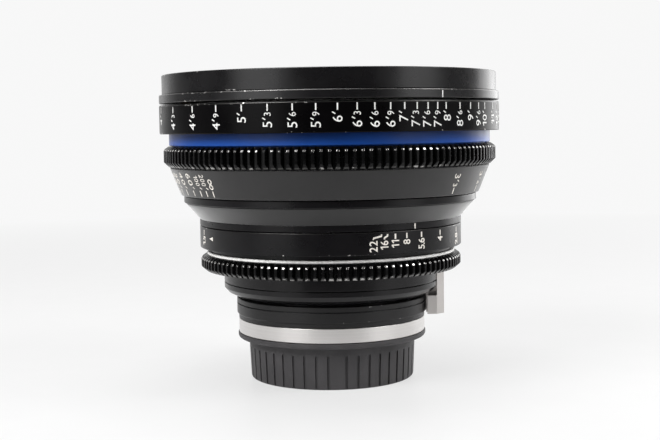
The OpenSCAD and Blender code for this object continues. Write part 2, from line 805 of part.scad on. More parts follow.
module mount_screws() {
    color([0.6, 0.6, 0.62]) mount_screw_places()
        translate([0, 0, z_flange_face * 2 + eps]) mirror([0, 0, 1])
            screw(mount_screw_r, mount_head_r, mount_head_h, z_flange_face, mount_screw_l);
}

module rear_baffle() {
    color([0.03, 0.03, 0.03]) difference() {
        translate([0, 0, z_baffle]) cylinder(h = baffle_t, r = baffle_r);
        translate([-baffle_w / 2, -baffle_h / 2, z_baffle - over])
            cube([baffle_w, baffle_h, baffle_t + 2 * over]);
    }
}

// Support foot: a block let in to the rear cylinder and the adapter, tapped for a rod support
foot_r = rear_cyl_r + foot_out;
foot_sink = 2;
foot_in = adapter_r - foot_sink;
z_foot = z_adapter + foot_rise;
z_foot_top = z_iris - foot_room;
foot_thread_z = (z_foot + z_rear_cone) / 2 + edge;
foot_screw_r = 0.8;
foot_head_r = 1.4;
foot_head_h = 0.9;
foot_bite = 2.2;
foot_screw_l = foot_out + foot_bite;
foot_screw_side = foot_w / 4;
foot_screw_z = z_rear_cyl + rear_cyl_h / 2;
foot_gap = 1.1;
foot_relief = (foot_w - foot_web_w) / 2;
z_foot_notch = z_neck + edge;

module foot_screw_places() {
    for (side = [-1, 1]) rotate([0, 0, foot_deg]) translate([side * foot_screw_side, -foot_r, foot_screw_z])
        rotate([90, 0, 0]) children();
}

module foot_screw_room() {
    screw_room(foot_screw_r, foot_head_r, foot_head_h, 0, foot_screw_l);
}

// Room for the barrel behind the foot
module foot_seat() {
    turned([[0, z_foot - over], [adapter_r + fit_clear, z_foot - over],
        [adapter_r + fit_clear, z_rear_cone - fit_clear],
        [rear_cyl_r - rear_bend_in + fit_clear, z_rear_cyl - rear_bend_drop - fit_clear],
        [rear_cyl_r + fit_clear, z_rear_cyl - fit_clear], [rear_cyl_r + fit_clear, z_top], [0, z_top]]);
}

// Slot beside the adapter and notch under the cone at both ends of the foot
module foot_end_room() {
    intersection() {
        turned([[0, z_foot - over], [adapter_r + foot_gap, z_foot - over],
            [adapter_r + foot_gap, z_foot_notch], [rear_cyl_r + fit_clear, z_foot_notch],
            [rear_cyl_r + fit_clear, z_rear_cyl], [0, z_rear_cyl]]);
        for (side = [-1, 1]) rotate([0, 0, foot_deg])
            translate([side * foot_w / 2 - foot_relief, -foot_r - over, z_foot - over])
                cube([foot_relief * 2, foot_r, z_top]);
    }
}

module support_foot() {
    color([0.72, 0.7, 0.69]) difference() {
        rotate([0, 0, foot_deg - 90]) translate([0, 0, z_foot]) linear_extrude(z_foot_top - z_foot)
            polygon([[foot_in, -foot_w / 2], [foot_r - foot_chamfer, -foot_w / 2],
                [foot_r, foot_chamfer - foot_w / 2], [foot_r, foot_w / 2 - foot_chamfer],
                [foot_r - foot_chamfer, foot_w / 2], [foot_in, foot_w / 2]]);
        foot_seat();
        foot_end_room();
        rotate([0, 0, foot_deg]) spoke(foot_thread_r, foot_thread_z, adapter_r - over, foot_r + over);
        foot_screw_places() foot_screw_room();
    }
}

module foot_screws() {
    color([0.3, 0.3, 0.32]) foot_screw_places()
        screw(foot_screw_r, foot_head_r, foot_head_h, 0, foot_screw_l);
}

// Focus ring: four rings clamped together around the drum
drum_lip = 1.5;
drum_lip_h = 2.0;
scale_lip = 0.4;
cone_in = drum_r + drum_lip + fit_clear;
z_drum = z_step_top + washer_t + end_play;
z_drum_top = z_flange - washer_t - end_play;
ring_screw_n = 4;
ring_screw_deg = 20;
ring_screw_set = 2.3;
ring_screw_ring = ring_in + ring_screw_set;
ring_head_r = small_screw_r * head_ratio;
ring_screw_l = scale_web + blue_h + focus_gear_h + screw_bite;

module ring_screw_room() {
    around(ring_screw_n, ring_screw_deg) translate([0, -ring_screw_ring, 0])
        translate([0, 0, z_scale + scale_web - ring_screw_l - eps])
            cylinder(h = ring_screw_l + over, r = small_screw_r + fit_clear);
}

module focus_ring_screws() {
    color([0.3, 0.3, 0.32]) around(ring_screw_n, ring_screw_deg) translate([0, -ring_screw_ring, 0])
        screw(small_screw_r, ring_head_r, ring_head_h, z_scale + scale_web + ring_head_h,
            ring_screw_l + ring_head_h);
}

module focus_scale_ring() {
    color([0.04, 0.03, 0.04]) difference() {
        turned([[ring_in, z_scale], [scale_r - edge, z_scale], [scale_r, z_scale + edge],
            [scale_r, z_scale_top - scale_lip], [scale_r - edge, z_scale_top],
            [scale_r - scale_wall, z_scale_top], [scale_r - scale_wall, z_scale + scale_web],
            [ring_in, z_scale + scale_web]]);
        ring_screw_room();
        rotate([0, 0, stop_pin_deg])
            post(stop_mid, stop_pin_r + fit_clear, z_scale + scale_web / 2, z_stop_pin_top);
    }
}

module focus_blue_ring() {
    color([0.08, 0.2, 0.45]) difference() {
        turned([[ring_in, z_blue], [blue_r - line_d, z_blue], [blue_r - line_d, z_blue + line_h],
            [blue_r - edge, z_blue + line_h], [blue_r, z_blue + line_h + edge], [blue_r, z_scale],
            [ring_in, z_scale]]);
        ring_screw_room();
    }
}

module focus_gear() {
    color([0.05, 0.05, 0.05]) difference() {
        union() {
            toothed_ring(focus_teeth, ring_in, z_focus_gear + line_h, z_blue, focus_bevel);
            ring(cone_r1 - line_d, ring_in, z_focus_gear, z_focus_gear + line_h + eps, 0);
        }
        ring_screw_room();
    }
}

module focus_cone_ring() {
    color([0.23, 0.22, 0.23]) difference() {
        turned([[cone_in, z_focus], [cone_r0 - edge, z_focus], [cone_r0, z_focus + edge],
            [cone_r1, z_focus_gear - edge], [cone_r1 - edge, z_focus_gear], [ring_in, z_focus_gear],
            [ring_in, z_drum + drum_lip_h], [cone_in, z_drum + drum_lip_h]]);
        ring_screw_room();
    }
}

// One helical cam groove as a swept rectangle. It falls as the angle grows, so that turning the drum
// to the near limit lifts the follower.
groove_steps = 26;
groove_end_deg = 3.5;
groove_depth = 2.2;
groove_over = 0.6;

function groove_ring(t, t0) = let (
        z = z_follower + climb * (t0 - t),
        half = follower_r + groove_room,
        inner = polar(drum_in - groove_over, t),
        outer = polar(drum_in + groove_depth, t))
    [[inner[0], inner[1], z - half], [outer[0], outer[1], z - half],
        [outer[0], outer[1], z + half], [inner[0], inner[1], z + half]];

module cam_groove(t0) {
    first = t0 - focus_near_deg - groove_end_deg;
    last = t0 - focus_far_deg + groove_end_deg;
    points = [for (i = [0:groove_steps]) each groove_ring(first + (last - first) * i / groove_steps, t0)];
    sides = [for (i = [0:groove_steps - 1], k = [0:3]) let (a = i * 4 + k, b = i * 4 + (k + 1) % 4)
        each [[a, b, b + 4], [a, b + 4, a + 4]]];
    end = groove_steps * 4;
    ends = [[0, 2, 1], [0, 3, 2], [end, end + 1, end + 2], [end, end + 2, end + 3]];
    polyhedron(points, concat(sides, ends));
}

module focus_drum() {
    color([0.5, 0.45, 0.3]) difference() {
        turned([[drum_in, z_drum], [drum_r + drum_lip, z_drum], [drum_r + drum_lip, z_drum + drum_lip_h],
            [drum_r, z_drum + drum_lip_h], [drum_r, z_drum_top], [drum_in, z_drum_top]]);
        for (i = [0:follower_n - 1]) cam_groove(follower_deg + i * 360 / follower_n);
    }
}

// Optics carrier: the front guide slides in the main barrel and the rear tube in the rear barrel
module optics_carrier() {
    color([0.2, 0.2, 0.21]) difference() {
        turned([[rear_tube_in - carrier_lip, z_carrier], [rear_tube_r, z_carrier],
            [rear_tube_r, z_carrier_step], [carrier_r, z_carrier_step], [carrier_r, z_carrier_top],
            [carrier_in, z_carrier_top], [carrier_in, z_carrier_web], [rear_tube_in, z_carrier_web],
            [rear_tube_in, z_rear_cell_top - rear_flange_t],
            [rear_tube_in - carrier_lip, z_rear_cell_top - rear_flange_t]]);
        around(follower_n, follower_deg)
            spoke(follower_r + fit_clear, z_follower, carrier_in - over, carrier_r + over);
        ring_sector(rear_tube_r + over, rear_tube_in - over, iris_pin_z - iris_pin_r - run_clear,
            iris_pin_z + iris_pin_r + run_clear, iris_pin_deg + iris_open_deg - iris_pin_half,
            iris_pin_deg + iris_close_deg + iris_pin_half);
    }
}

module cam_followers() {
    color([0.7, 0.7, 0.72]) around(follower_n, follower_deg)
        spoke(follower_r, z_follower, carrier_in + fit_clear, drum_in + follower_tip);
}

// Heights and radii of the elements, from the iris outwards
front_r1 = cell_r - cell_wall - fit_clear;
front_t = 8.5;
second_t = 8.0;
second_step = 6;
second_r1 = front_r1 - second_step;
third_t = 2.5;
third_step = 2;
third_r1 = second_r1 - third_step;
third_rim_w = 4;
third_clear = third_r1 - third_rim_w;
third_c0 = 95;
third_c1 = 27;
second_c0 = 42;
second_c1 = 90;
front_c0 = 70;
front_c1 = 250;
air_gap = 0.5;
z_third_rim = z_front_cell;
z_third_rear = z_third_rim + sag(third_c1, third_clear);
z_third_front = z_third_rear + third_t;
z_second_rear = z_third_front + air_gap;
z_second_front = z_second_rear + second_t;
z_second_rim = z_second_rear - sag(second_c1, second_r1);
z_front_rear = z_second_front + air_gap;
z_front_vertex = z_front_rear + front_t;
z_front_rim = z_front_rear - sag(front_c1, front_r1);
cell_seat = 3.0;
z_cell_top = z_front_vertex - sag(front_c0, front_r1) + air_gap;
spacer_w = 1;
spacer_in = second_r1 - spacer_w;

module front_element() {
    color([0.35, 0.3, 0.5, 0.5])
        element(front_r1, z_front_vertex, front_c0, front_r1, z_front_rear, front_c1, front_r1);
}

module second_element() {
    color([0.35, 0.4, 0.5, 0.5])
        element(second_r1, z_second_front, second_c0, second_r1, z_second_rear, second_c1, second_r1);
}

module third_element() {
    color([0.35, 0.4, 0.5, 0.5])
        element(third_r1, z_third_front, third_c0, third_r1, z_third_rear, third_c1, third_clear);
}

module front_cell() {
    color([0.12, 0.12, 0.13]) turned([[third_r1 - cell_seat, z_front_cell - end_play],
        [cell_neck_r, z_front_cell - end_play], [cell_neck_r, z_carrier_web + fit_clear],
        [cell_r, z_carrier_web + fit_clear], [cell_r, z_cell_top], [front_r1 + fit_clear, z_cell_top],
        [front_r1 + fit_clear, z_front_rim], [second_r1 + fit_clear, z_front_rim],
        [second_r1 + fit_clear, z_second_rim], [third_r1 + fit_clear, z_second_rim],
        [third_r1 + fit_clear, z_third_rim], [third_r1 - cell_seat, z_third_rim]]);
}

module element_spacer() {
    color([0.1, 0.1, 0.1]) ring(second_r1, spacer_in,
        z_second_front - sag(second_c0, spacer_in) + end_play,
        z_front_rear - sag(front_c1, second_r1) - end_play, 0);
}

lock_h = 2.2;
lock_w = 1.0;
spanner_w = 1.4;
spanner_d = 0.8;

// Threaded lock ring with two spanner slots
module lock_ring(ro, ri, z0, z1) {
    difference() {
        ring(ro, ri, z0, z1, edge / 2);
        around(2) translate([-spanner_w / 2, -ro - over, z1 - spanner_d])
            cube([spanner_w, ro - ri + 2 * over, spanner_d + over]);
    }
}

module front_lock_ring() {
    color([0.06, 0.06, 0.06]) lock_ring(cell_r, front_r1 - lock_w, z_cell_top, z_cell_top + lock_h);
}

// Stepped bezel that hides the front cell and traps stray light
bezel_steps = 4;
z_bezel = z_cell_top + lock_h;
bezel_rise = bezel_h / bezel_steps;
bezel_lip = 0.6;
bezel_run = (cell_r - bezel_lip + fit_clear - front_r1) / bezel_steps;
bezel_first = 0.4;
bezel_stairs = [for (i = [0:bezel_steps - 1]) each [
    [front_r1 + i * bezel_run, z_bezel + (i + bezel_first) * bezel_rise],
    [front_r1 + (i + 1) * bezel_run, z_bezel + (i + bezel_first) * bezel_rise]]];

module front_bezel() {
    color([0.05, 0.05, 0.05]) turned(concat([[cell_r, z_bezel], [front_r1, z_bezel]], bezel_stairs,
        [[cell_r - bezel_lip + fit_clear, z_bezel + bezel_h], [cell_r, z_bezel + bezel_h]]));
}

iris_lock_in = pivot_r - pivot_ear_r;

module iris_lock_ring() {
    color([0.1, 0.1, 0.1])
        ring(rear_tube_in - fit_clear, iris_lock_in, z_iris_lock, z_iris_lock + iris_lock_t, 0);
}

module iris_pivot_plate() {
    color([0.55, 0.5, 0.35]) difference() {
        ring(rear_tube_in - fit_clear, iris_open_r + free_room, z_pivot_plate, z_iris_lock, 0);
        around(blade_n, 90)
            post(pivot_r, pivot_pin_r + run_clear, z_pivot_plate - over, z_iris_lock + over);
    }
}

// Rear group: a cemented doublet and a single element in one cell
doublet_c0 = -28;
doublet_c1 = 60;
doublet_c2 = -36;
rear_c0 = 80;
rear_c1 = -150;
cement_t = 0.02;
doublet_front_t = 2.0;
doublet_rear_t = 9.0;
doublet_rim_w = 1;
doublet_clear = doublet_r - doublet_rim_w;
rear_t = 5.5;
rear_step = 0.5;
rear_r1 = doublet_r + rear_step;
z_doublet_rim = z_rear_cell_top - end_play * 2;
z_doublet_front = z_doublet_rim - sag(doublet_c0, doublet_clear);
z_cement = z_doublet_front - doublet_front_t;
z_doublet_rear = z_cement - doublet_rear_t;
z_doublet_seat = z_doublet_rear + sag(doublet_c2, doublet_clear) - eps;
z_rear_front = z_doublet_rear - air_gap;
z_rear_rear = z_rear_front - rear_t;
z_rear_seat = z_rear_front - sag(rear_c0, doublet_clear) + eps;
z_rear_rim_low = z_rear_rear + sag(rear_c1, rear_r1);

module doublet_front_element() {
    color([0.4, 0.42, 0.5, 0.5])
        element(doublet_r, z_doublet_front, doublet_c0, doublet_clear, z_cement, doublet_c1, doublet_r);
}

module doublet_rear_element() {
    color([0.4, 0.42, 0.5, 0.5])
        element(doublet_r, z_cement - cement_t, doublet_c1, doublet_r,
            z_doublet_rear, doublet_c2, doublet_r);
}

module rear_element() {
    color([0.4, 0.35, 0.5, 0.5])
        element(rear_r1, z_rear_front, rear_c0, rear_r1, z_rear_rear, rear_c1, rear_r1);
}

module rear_cell() {
    color([0.12, 0.12, 0.13]) turned([[rear_r1 + fit_clear, z_rear_cell], [rear_cell_r - edge, z_rear_cell],
        [rear_cell_r, z_rear_cell + edge], [rear_cell_r, z_rear_cell_top - rear_flange_t],
        [rear_tube_in - fit_clear, z_rear_cell_top - rear_flange_t],
        [rear_tube_in - fit_clear, z_rear_cell_top], [doublet_r + fit_clear, z_rear_cell_top],
        [doublet_r + fit_clear, z_doublet_seat],
        [doublet_clear, z_doublet_seat], [doublet_clear, z_rear_seat], [rear_r1 + fit_clear, z_rear_seat]]);
}

rear_lock_w = 1.7;
rear_lock_h = 1.5;

module rear_lock_ring() {
    color([0.06, 0.06, 0.06]) mirror([0, 0, 1]) lock_ring(rear_r1, rear_r1 - rear_lock_w,
        end_play * 2 - z_rear_rim_low, rear_lock_h - z_rear_rim_low);
}

// Iris ring: scale and gear on one sleeve that turns on the rear barrel
iris_screw_n = 3;
iris_screw_deg = 110;
iris_screw_step_deg = 70;
iris_screw_r = 0.8;
iris_screw_sink = 0.8;
iris_screw_socket_d = 1.2;
iris_screw_z = z_iris_scale + iris_scale_h / 2;
iris_ring_in = sleeve_r + fit_clear;
iris_skirt_r = iris_ring_in + iris_skirt_wall;
z_iris_skirt = z_iris_scale - iris_skirt_h;
iris_collar_r = sleeve_r + iris_collar_wall;
iris_groove_half = iris_pin_r + run_clear;
iris_groove_depth = 2.1;
iris_stop_half = asin((iris_stop_pin_r + free_room) / journal_r);

module iris_screw_places() {
    for (i = [0:iris_screw_n - 1]) rotate([0, 0, iris_screw_deg + i * iris_screw_step_deg]) children();
}

module iris_scale_ring() {
    color([0.08, 0.075, 0.08]) difference() {
        union() {
            ring(iris_scale_r, iris_ring_in, z_iris_scale, z_iris_top);
            ring(iris_skirt_r, iris_ring_in, z_iris_skirt, z_iris_scale + edge, 0);
        }
        iris_screw_places()
            spoke(iris_screw_r + fit_clear, iris_screw_z, sleeve_r - over, iris_scale_r + over);
    }
}

module iris_ring_screws() {
    color([0.3, 0.3, 0.32]) iris_screw_places() difference() {
        spoke(iris_screw_r, iris_screw_z, sleeve_r + fit_clear, iris_scale_r - iris_screw_sink);
        translate([0, iris_screw_socket_d + iris_screw_sink - iris_scale_r, iris_screw_z])
            rotate([90, 0, 0])
                cylinder(h = iris_screw_socket_d + over, r = iris_screw_r * socket_d_share,
                    $fn = socket_sides);
    }
}

module iris_sleeve() {
    color([0.83, 0.81, 0.79]) difference() {
        union() {
            ring(sleeve_r, journal_r + run_clear, z_iris, sleeve_top, 0);
            ring(iris_collar_r, journal_r + run_clear, z_iris_groove + fit_clear, z_iris_skirt - fit_clear);
        }
        rotate([0, 0, iris_pin_deg]) translate([-iris_groove_half, -journal_r - iris_groove_depth,
            iris_pin_z + carrier_down - iris_pin_r - window_margin])
            cube([iris_groove_half * 2, iris_groove_depth + over, z_top]);
        ring_sector(journal_r + iris_stop_depth, journal_r - over,
            iris_stop_z - iris_stop_pin_r - free_room, iris_stop_z + iris_stop_pin_r + free_room,
            iris_stop_deg - iris_close_deg - iris_stop_half,
            iris_stop_deg - iris_open_deg + iris_stop_half);
    }
}

module iris_gear() {
    color([0.05, 0.05, 0.05])
        toothed_ring(iris_teeth, iris_ring_in, z_iris, z_iris_groove, iris_bevel);
}

// Path of a drive pin seen from the cam ring at the drawn setting, by the leaf's turn s from wide open
function drive_point(s) = let (
        p = [pivot_r, 0] + drive_arm * [cos(drive_deg + s), sin(drive_deg + s)],
        a = (blade_rest_deg - s) / blade_ratio)
    [p[0] * cos(a) - p[1] * sin(a), p[0] * sin(a) + p[1] * cos(a)];
// Centre of the circle through three points
function circle_centre(a, b, c) = let (
        d = 2 * (a[0] * (b[1] - c[1]) + b[0] * (c[1] - a[1]) + c[0] * (a[1] - b[1])),
        aa = a * a,
        bb = b * b,
        cc = c * c)
    [(aa * (b[1] - c[1]) + bb * (c[1] - a[1]) + cc * (a[1] - b[1])) / d,
        (aa * (c[0] - b[0]) + bb * (a[0] - c[0]) + cc * (b[0] - a[0])) / d];

cam_first = drive_point(0);
cam_mid = drive_point(blade_turn / 2);
cam_last = drive_point(blade_turn);
cam_centre = circle_centre(cam_first, cam_mid, cam_last);
cam_arc_r = norm(cam_first - cam_centre);
cam_a0 = atan2(cam_last[1] - cam_centre[1], cam_last[0] - cam_centre[0]);
cam_a1 = atan2(cam_first[1] - cam_centre[1], cam_first[0] - cam_centre[0]);
cam_sweep = (cam_a1 - cam_a0 + 360) % 360;

// One cam slot, an arc that every drive pin follows
module cam_slot() {
    translate([cam_centre[0], cam_centre[1], z_cam - over]) {
        rotate([0, 0, cam_a0]) rotate_extrude(angle = cam_sweep)
            translate([cam_arc_r - cam_slot_half, 0]) square([cam_slot_half * 2, cam_t + 2 * over]);
        for (a = [cam_a0, cam_a0 + cam_sweep]) rotate([0, 0, a]) translate([cam_arc_r, 0, 0])
            cylinder(h = cam_t + 2 * over, r = cam_slot_half);
    }
}

cam_pin_sink = 0.35;

module iris_cam_ring() {
    color([0.6, 0.5, 0.3]) difference() {
        ring(cam_r, pivot_r - drive_ear_r * 2, z_cam, z_cam_top, 0);
        around(blade_n) cam_slot();
        rotate([0, 0, iris_pin_deg]) spoke(iris_pin_r / 2 + fit_clear, iris_pin_z,
            cam_r - cam_pin_sink - fit_clear, cam_r + over);
    }
}

module iris_drive_pin() {
    color([0.7, 0.7, 0.72]) rotate([0, 0, iris_pin_deg]) union() {
        spoke(iris_pin_r, iris_pin_z, cam_r + fit_clear, journal_r + iris_groove_depth - free_room);
        spoke(iris_pin_r / 2, iris_pin_z, cam_r - cam_pin_sink, cam_r + over);
    }
}

// One leaf, shaped for the wide open iris with its pivot on +X and then turned in about that pivot
module iris_blade(i) {
    z = z_blades + (i + 0.5) * blade_pitch - blade_t / 2;
    drive = drive_arm * [cos(drive_deg), sin(drive_deg)];
    color([0.12, 0.12, 0.13]) rotate([0, 0, i * 360 / blade_n]) translate([pivot_r, 0, z])
        rotate([0, 0, blade_rest_deg]) translate([-pivot_r, 0, 0]) {
            blade_plate(drive);
            translate([pivot_r, 0, blade_t / 2])
                cylinder(h = z_iris_lock - z - blade_t / 2, r = pivot_pin_r);
            translate([pivot_r + drive[0], drive[1], z_cam - z + end_play])
                cylinder(h = z - z_cam - end_play + blade_t / 2, r = drive_pin_r);
        }
}

// Strip, pivot ear and drive ear of one leaf
module blade_plate(drive) {
    linear_extrude(blade_t) {
        intersection() {
            difference() {
                circle(r = iris_open_r + blade_w);
                circle(r = iris_open_r);
            }
            polygon(concat([[0, 0]], [for (k = [0:blade_corners])
                2 * pivot_r * [cos(blade_corner(k)), sin(blade_corner(k))]]));
        }
        translate([pivot_r, 0]) circle(r = pivot_ear_r);
        translate([pivot_r - pivot_ear_r * 2, -pivot_ear_r]) square([pivot_ear_r * 2, pivot_ear_r * 2]);
        translate([pivot_r, 0] + drive) circle(r = drive_ear_r);
        translate([pivot_r, 0]) rotate(drive_deg) translate([0, -drive_ear_r])
            square([drive_arm, drive_ear_r * 2]);
    }
}

blade_tail = 4;
blade_corners = 4;
function blade_corner(k) = -blade_tail + (blade_reach + blade_tail) * k / blade_corners;

// Rear cap: a ribbed cup with a rim, and tabs that lie in the gaps between the bayonet lugs
cap_recess_w = 5;
cap_recess_r = cap_in - cap_recess_w;
cap_recess_d = 0.5;
round_steps = 5;
// Arc of radius rr in the lower corner of a section, where its side r meets its underside z
function low_corner(r, z, rr) = [for (i = [0:round_steps]) let (a = -90 + 90 * i / round_steps)
    [r - rr + rr * cos(a), z + rr + rr * sin(a)]];
cap_foot_r = cap_r - cap_taper;
cap_rim_r = mount_r + cap_rim_out;
cap_rim_round = 1.0;
z_cap_rim = cap_h - cap_rim_h;
tab_in = nose_r + free_room;
z_tab = z_lug_top + free_room;

// Cutter for one grip groove, whose floor follows the taper of the cap's side
module cap_groove() {
    rotate([90, 0, -90]) linear_extrude(cap_groove_w, center = true)
        polygon([[cap_foot_r - cap_groove_d, -over], [cap_r + over, -over],
            [cap_r + over, cap_rib_h], [cap_r - cap_groove_d, cap_rib_h]]);
}

module rear_cap() {
    color([0.22, 0.22, 0.22]) union() {
        difference() {
            turned(concat([[0, cap_recess_d], [cap_recess_r, cap_recess_d], [cap_recess_r, 0]],
                low_corner(cap_foot_r, 0, cap_round),
                [[cap_r, cap_rib_h + cap_taper], [cap_r, z_cap_rim]],
                low_corner(cap_rim_r, z_cap_rim, cap_rim_round),
                [[cap_rim_r, cap_h - edge], [cap_rim_r - edge, cap_h],
                [cap_in, cap_h], [cap_in, cap_floor], [0, cap_floor]]));
            for (half = [0, 180], i = [0:cap_grooves - 1])
                rotate([0, 0, cap_panel_deg + half + cap_panel_half_deg
                    + i * (180 - 2 * cap_panel_half_deg) / (cap_grooves - 1)])
                    cap_groove();
        }
        around(lug_n, 180 / lug_n) ring_sector(cap_in + cap_wall / 2, tab_in, z_tab, z_tab + tab_t,
            -tab_deg / 2, tab_deg / 2);
    }
}

front_ring();
index_flange();
front_screws();
focus_stop_block();
main_barrel();
thrust_washers();
step_ring();
lower_cone_ring();
iris_index_band();
housing_screws();
rear_barrel();
iris_stop_pin();
mount_adapter();
mount_index_dot();
mount_shim();
bayonet_mount();
mount_screws();
rear_baffle();
support_foot();
foot_screws();
focus_scale_ring();
focus_blue_ring();
focus_gear();
focus_cone_ring();
focus_drum();
focus_ring_screws();
focus_stop_pin();
optics_carrier();
cam_followers();
front_bezel();
front_lock_ring();
front_cell();
front_element();
second_element();
third_element();
element_spacer();
iris_lock_ring();
iris_pivot_plate();
rear_cell();
doublet_front_element();
doublet_rear_element();
rear_element();
rear_lock_ring();
iris_scale_ring();
iris_sleeve();
iris_gear();
iris_ring_screws();
iris_cam_ring();
iris_drive_pin();
rear_cap();
for (i = [0:blade_n - 1]) iris_blade(i);
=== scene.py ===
"""Looks of the cinema prime lens: a finish for every CAD node, the painted scales, and a plain studio."""

import math

import bmesh
import bpy
from mathutils import Matrix, Vector


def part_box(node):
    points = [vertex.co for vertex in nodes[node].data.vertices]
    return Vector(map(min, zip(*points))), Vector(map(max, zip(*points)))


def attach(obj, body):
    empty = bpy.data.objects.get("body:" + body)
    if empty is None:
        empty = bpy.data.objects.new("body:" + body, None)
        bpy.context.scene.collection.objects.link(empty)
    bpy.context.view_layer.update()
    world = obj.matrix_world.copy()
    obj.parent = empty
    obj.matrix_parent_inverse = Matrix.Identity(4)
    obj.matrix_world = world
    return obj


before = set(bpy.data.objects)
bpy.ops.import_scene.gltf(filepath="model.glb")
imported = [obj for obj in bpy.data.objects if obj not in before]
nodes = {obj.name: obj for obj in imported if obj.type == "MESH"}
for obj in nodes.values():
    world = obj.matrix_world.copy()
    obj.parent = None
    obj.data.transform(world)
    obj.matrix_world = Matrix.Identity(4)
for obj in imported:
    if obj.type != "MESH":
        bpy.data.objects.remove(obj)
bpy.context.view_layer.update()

MM = 0.001

# Camera, fitted to the rings of the photograph
FOCAL_MM = 66.24
SENSOR_MM = 36.0
EYE_MM = (-0.165, -420.2, 85.78)
PITCH_DEG = 4.342
ROLL_DEG = -0.797

# Measures taken from the frame: how near the end or the rim of a ring a point counts as its edge
EDGE_REACH = 0.6 * MM
RIM_REACH = 0.05 * MM


def wall(name, below=math.inf):
    """The (radius, height) of a ring's outer face at its foot and at its top, as far as a height."""
    points = [(math.hypot(v.co.x, v.co.y), v.co.z) for v in nodes[name].data.vertices if v.co.z < below]
    widest = max(points)[0]
    rim = sorted(z for r, z in points if r > widest - RIM_REACH)
    if rim[-1] - rim[0] > EDGE_REACH:
        return [(widest, rim[0]), (widest, rim[-1])]
    heights = [z for _, z in points]
    ends = min(heights), max(heights)
    return [max(p for p in points if abs(p[1] - end) < EDGE_REACH) for end in ends]


# Scale drawing: flat shapes in millimetres that are wrapped round a ring.
# Angles are about +Z from the -Y side. A shape's own x and y are turned to lie across and along the ring.
PAINT_PROUD = 0.04 * MM
PAINT_SUNK = 0.06 * MM
DIGIT_STRETCH = 1.03
# The gaps between signs, and the signs that are drawn, not taken from the typeface, for a cap height of 1
DIGIT_GAP = 0.14
POINT_GAP = 0.03
ONE = [(0.26, 0.0), (0.42, 0.0), (0.42, 1.0), (0.30, 1.0), (0.0, 0.81), (0.06, 0.68), (0.26, 0.80)]
POINT = [(0.0, 0.0), (0.16, 0.0), (0.16, 0.16), (0.0, 0.16)]
DRAWN_SIGNS = {"1": ONE, ".": POINT}
# Typeface signs: the steps of their curves, how near two points count as one, and half their depth
CURVE_STEPS = 3
WELD_REACH = 1e-5
SIGN_HALF = 0.5


def prism(outline):
    """Points (x, y, side) and faces of a closed flat shape from its outline."""
    count = len(outline)
    points = [(x, y, side) for side in (-1, 1) for x, y in outline]
    sides = [(i, (i + 1) % count, (i + 1) % count + count, i + count) for i in range(count)]
    return points, [*sides, range(count - 1, -1, -1), range(count, 2 * count)]


def upright(x, y):
    """A place in a shape as it was drawn."""
    return x, y


def reading_up(x, y):
    """A place in a shape that is turned so that its signs follow one another up the ring."""
    return -y, x


def reading_down(x, y):
    """A place in a shape that is turned so that its signs follow one another down the ring."""
    return y, -x


class Scale:
    """Painted marks on one ring, gathered in one piece."""

    def __init__(self, name, ring, body, finish):
        self.name, self.body, self.finish = name, body, finish
        self.foot, self.top = wall(ring)
        rise = self.top[1] - self.foot[1]
        self.steep = rise / math.hypot(rise, self.top[0] - self.foot[0])
        self.mesh = bmesh.new()

    def wrap(self, angle, height, across, along, lift):
        """A point that lies across and along from a place on the ring, lifted off it."""
        z = height + along * self.steep * MM
        share = (z - self.foot[1]) / (self.top[1] - self.foot[1])
        radius = self.foot[0] + share * (self.top[0] - self.foot[0])
        turn = math.radians(angle) + across * MM / radius
        return Vector(((radius + lift) * math.sin(turn), -(radius + lift) * math.cos(turn), z))

    def shape(self, points, faces, angle, height, turn):
        """A closed shape from points (x, y, side), where the side is up or down."""
        made = []
        for x, y, side in points:
            lift = PAINT_PROUD if side > 0 else -PAINT_SUNK
            made.append(self.mesh.verts.new(self.wrap(angle, height, *turn(x, y), lift)))
        for face in faces:
            self.mesh.faces.new([made[i] for i in face])

    def outline(self, outline, angle, height, turn=upright):
        """A closed shape from the outline of its flat side."""
        self.shape(*prism(outline), angle, height, turn)

    def figure(self, text, cap, angle, start, offset, way, turn, stretch=DIGIT_STRETCH, weight=0.0):
        """Digits of a cap height, an offset on from a start height. Gives the offset of their other end."""
        points, faces, width = digits(text, weight)
        end = offset + width * cap * stretch
        sized = [(x * cap * stretch, (y - 0.5) * cap, side) for x, y, side in points]
        self.shape(sized, faces, angle, self.further(start, way, end), turn)
        return end

    def below(self, drop):
        """The height of a place that lies a drop below the ring's upper edge."""
        return self.top[1] - drop * MM

    def further(self, start, way, offset):
        """The height of a place that lies an offset up or down the ring's face from a start height."""
        return start + way * offset * self.steep * MM

    def piece(self):
        """The finished piece, riding on its body."""
        mesh = bpy.data.meshes.new(self.name)
        bmesh.ops.recalc_face_normals(self.mesh, faces=self.mesh.faces)
        self.mesh.to_mesh(mesh)
        self.mesh.free()
        mesh.materials.append(self.finish)
        made = bpy.data.objects.new(self.name, mesh)
        bpy.context.scene.collection.objects.link(made)
        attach(made, self.body)


sign_shapes = {}


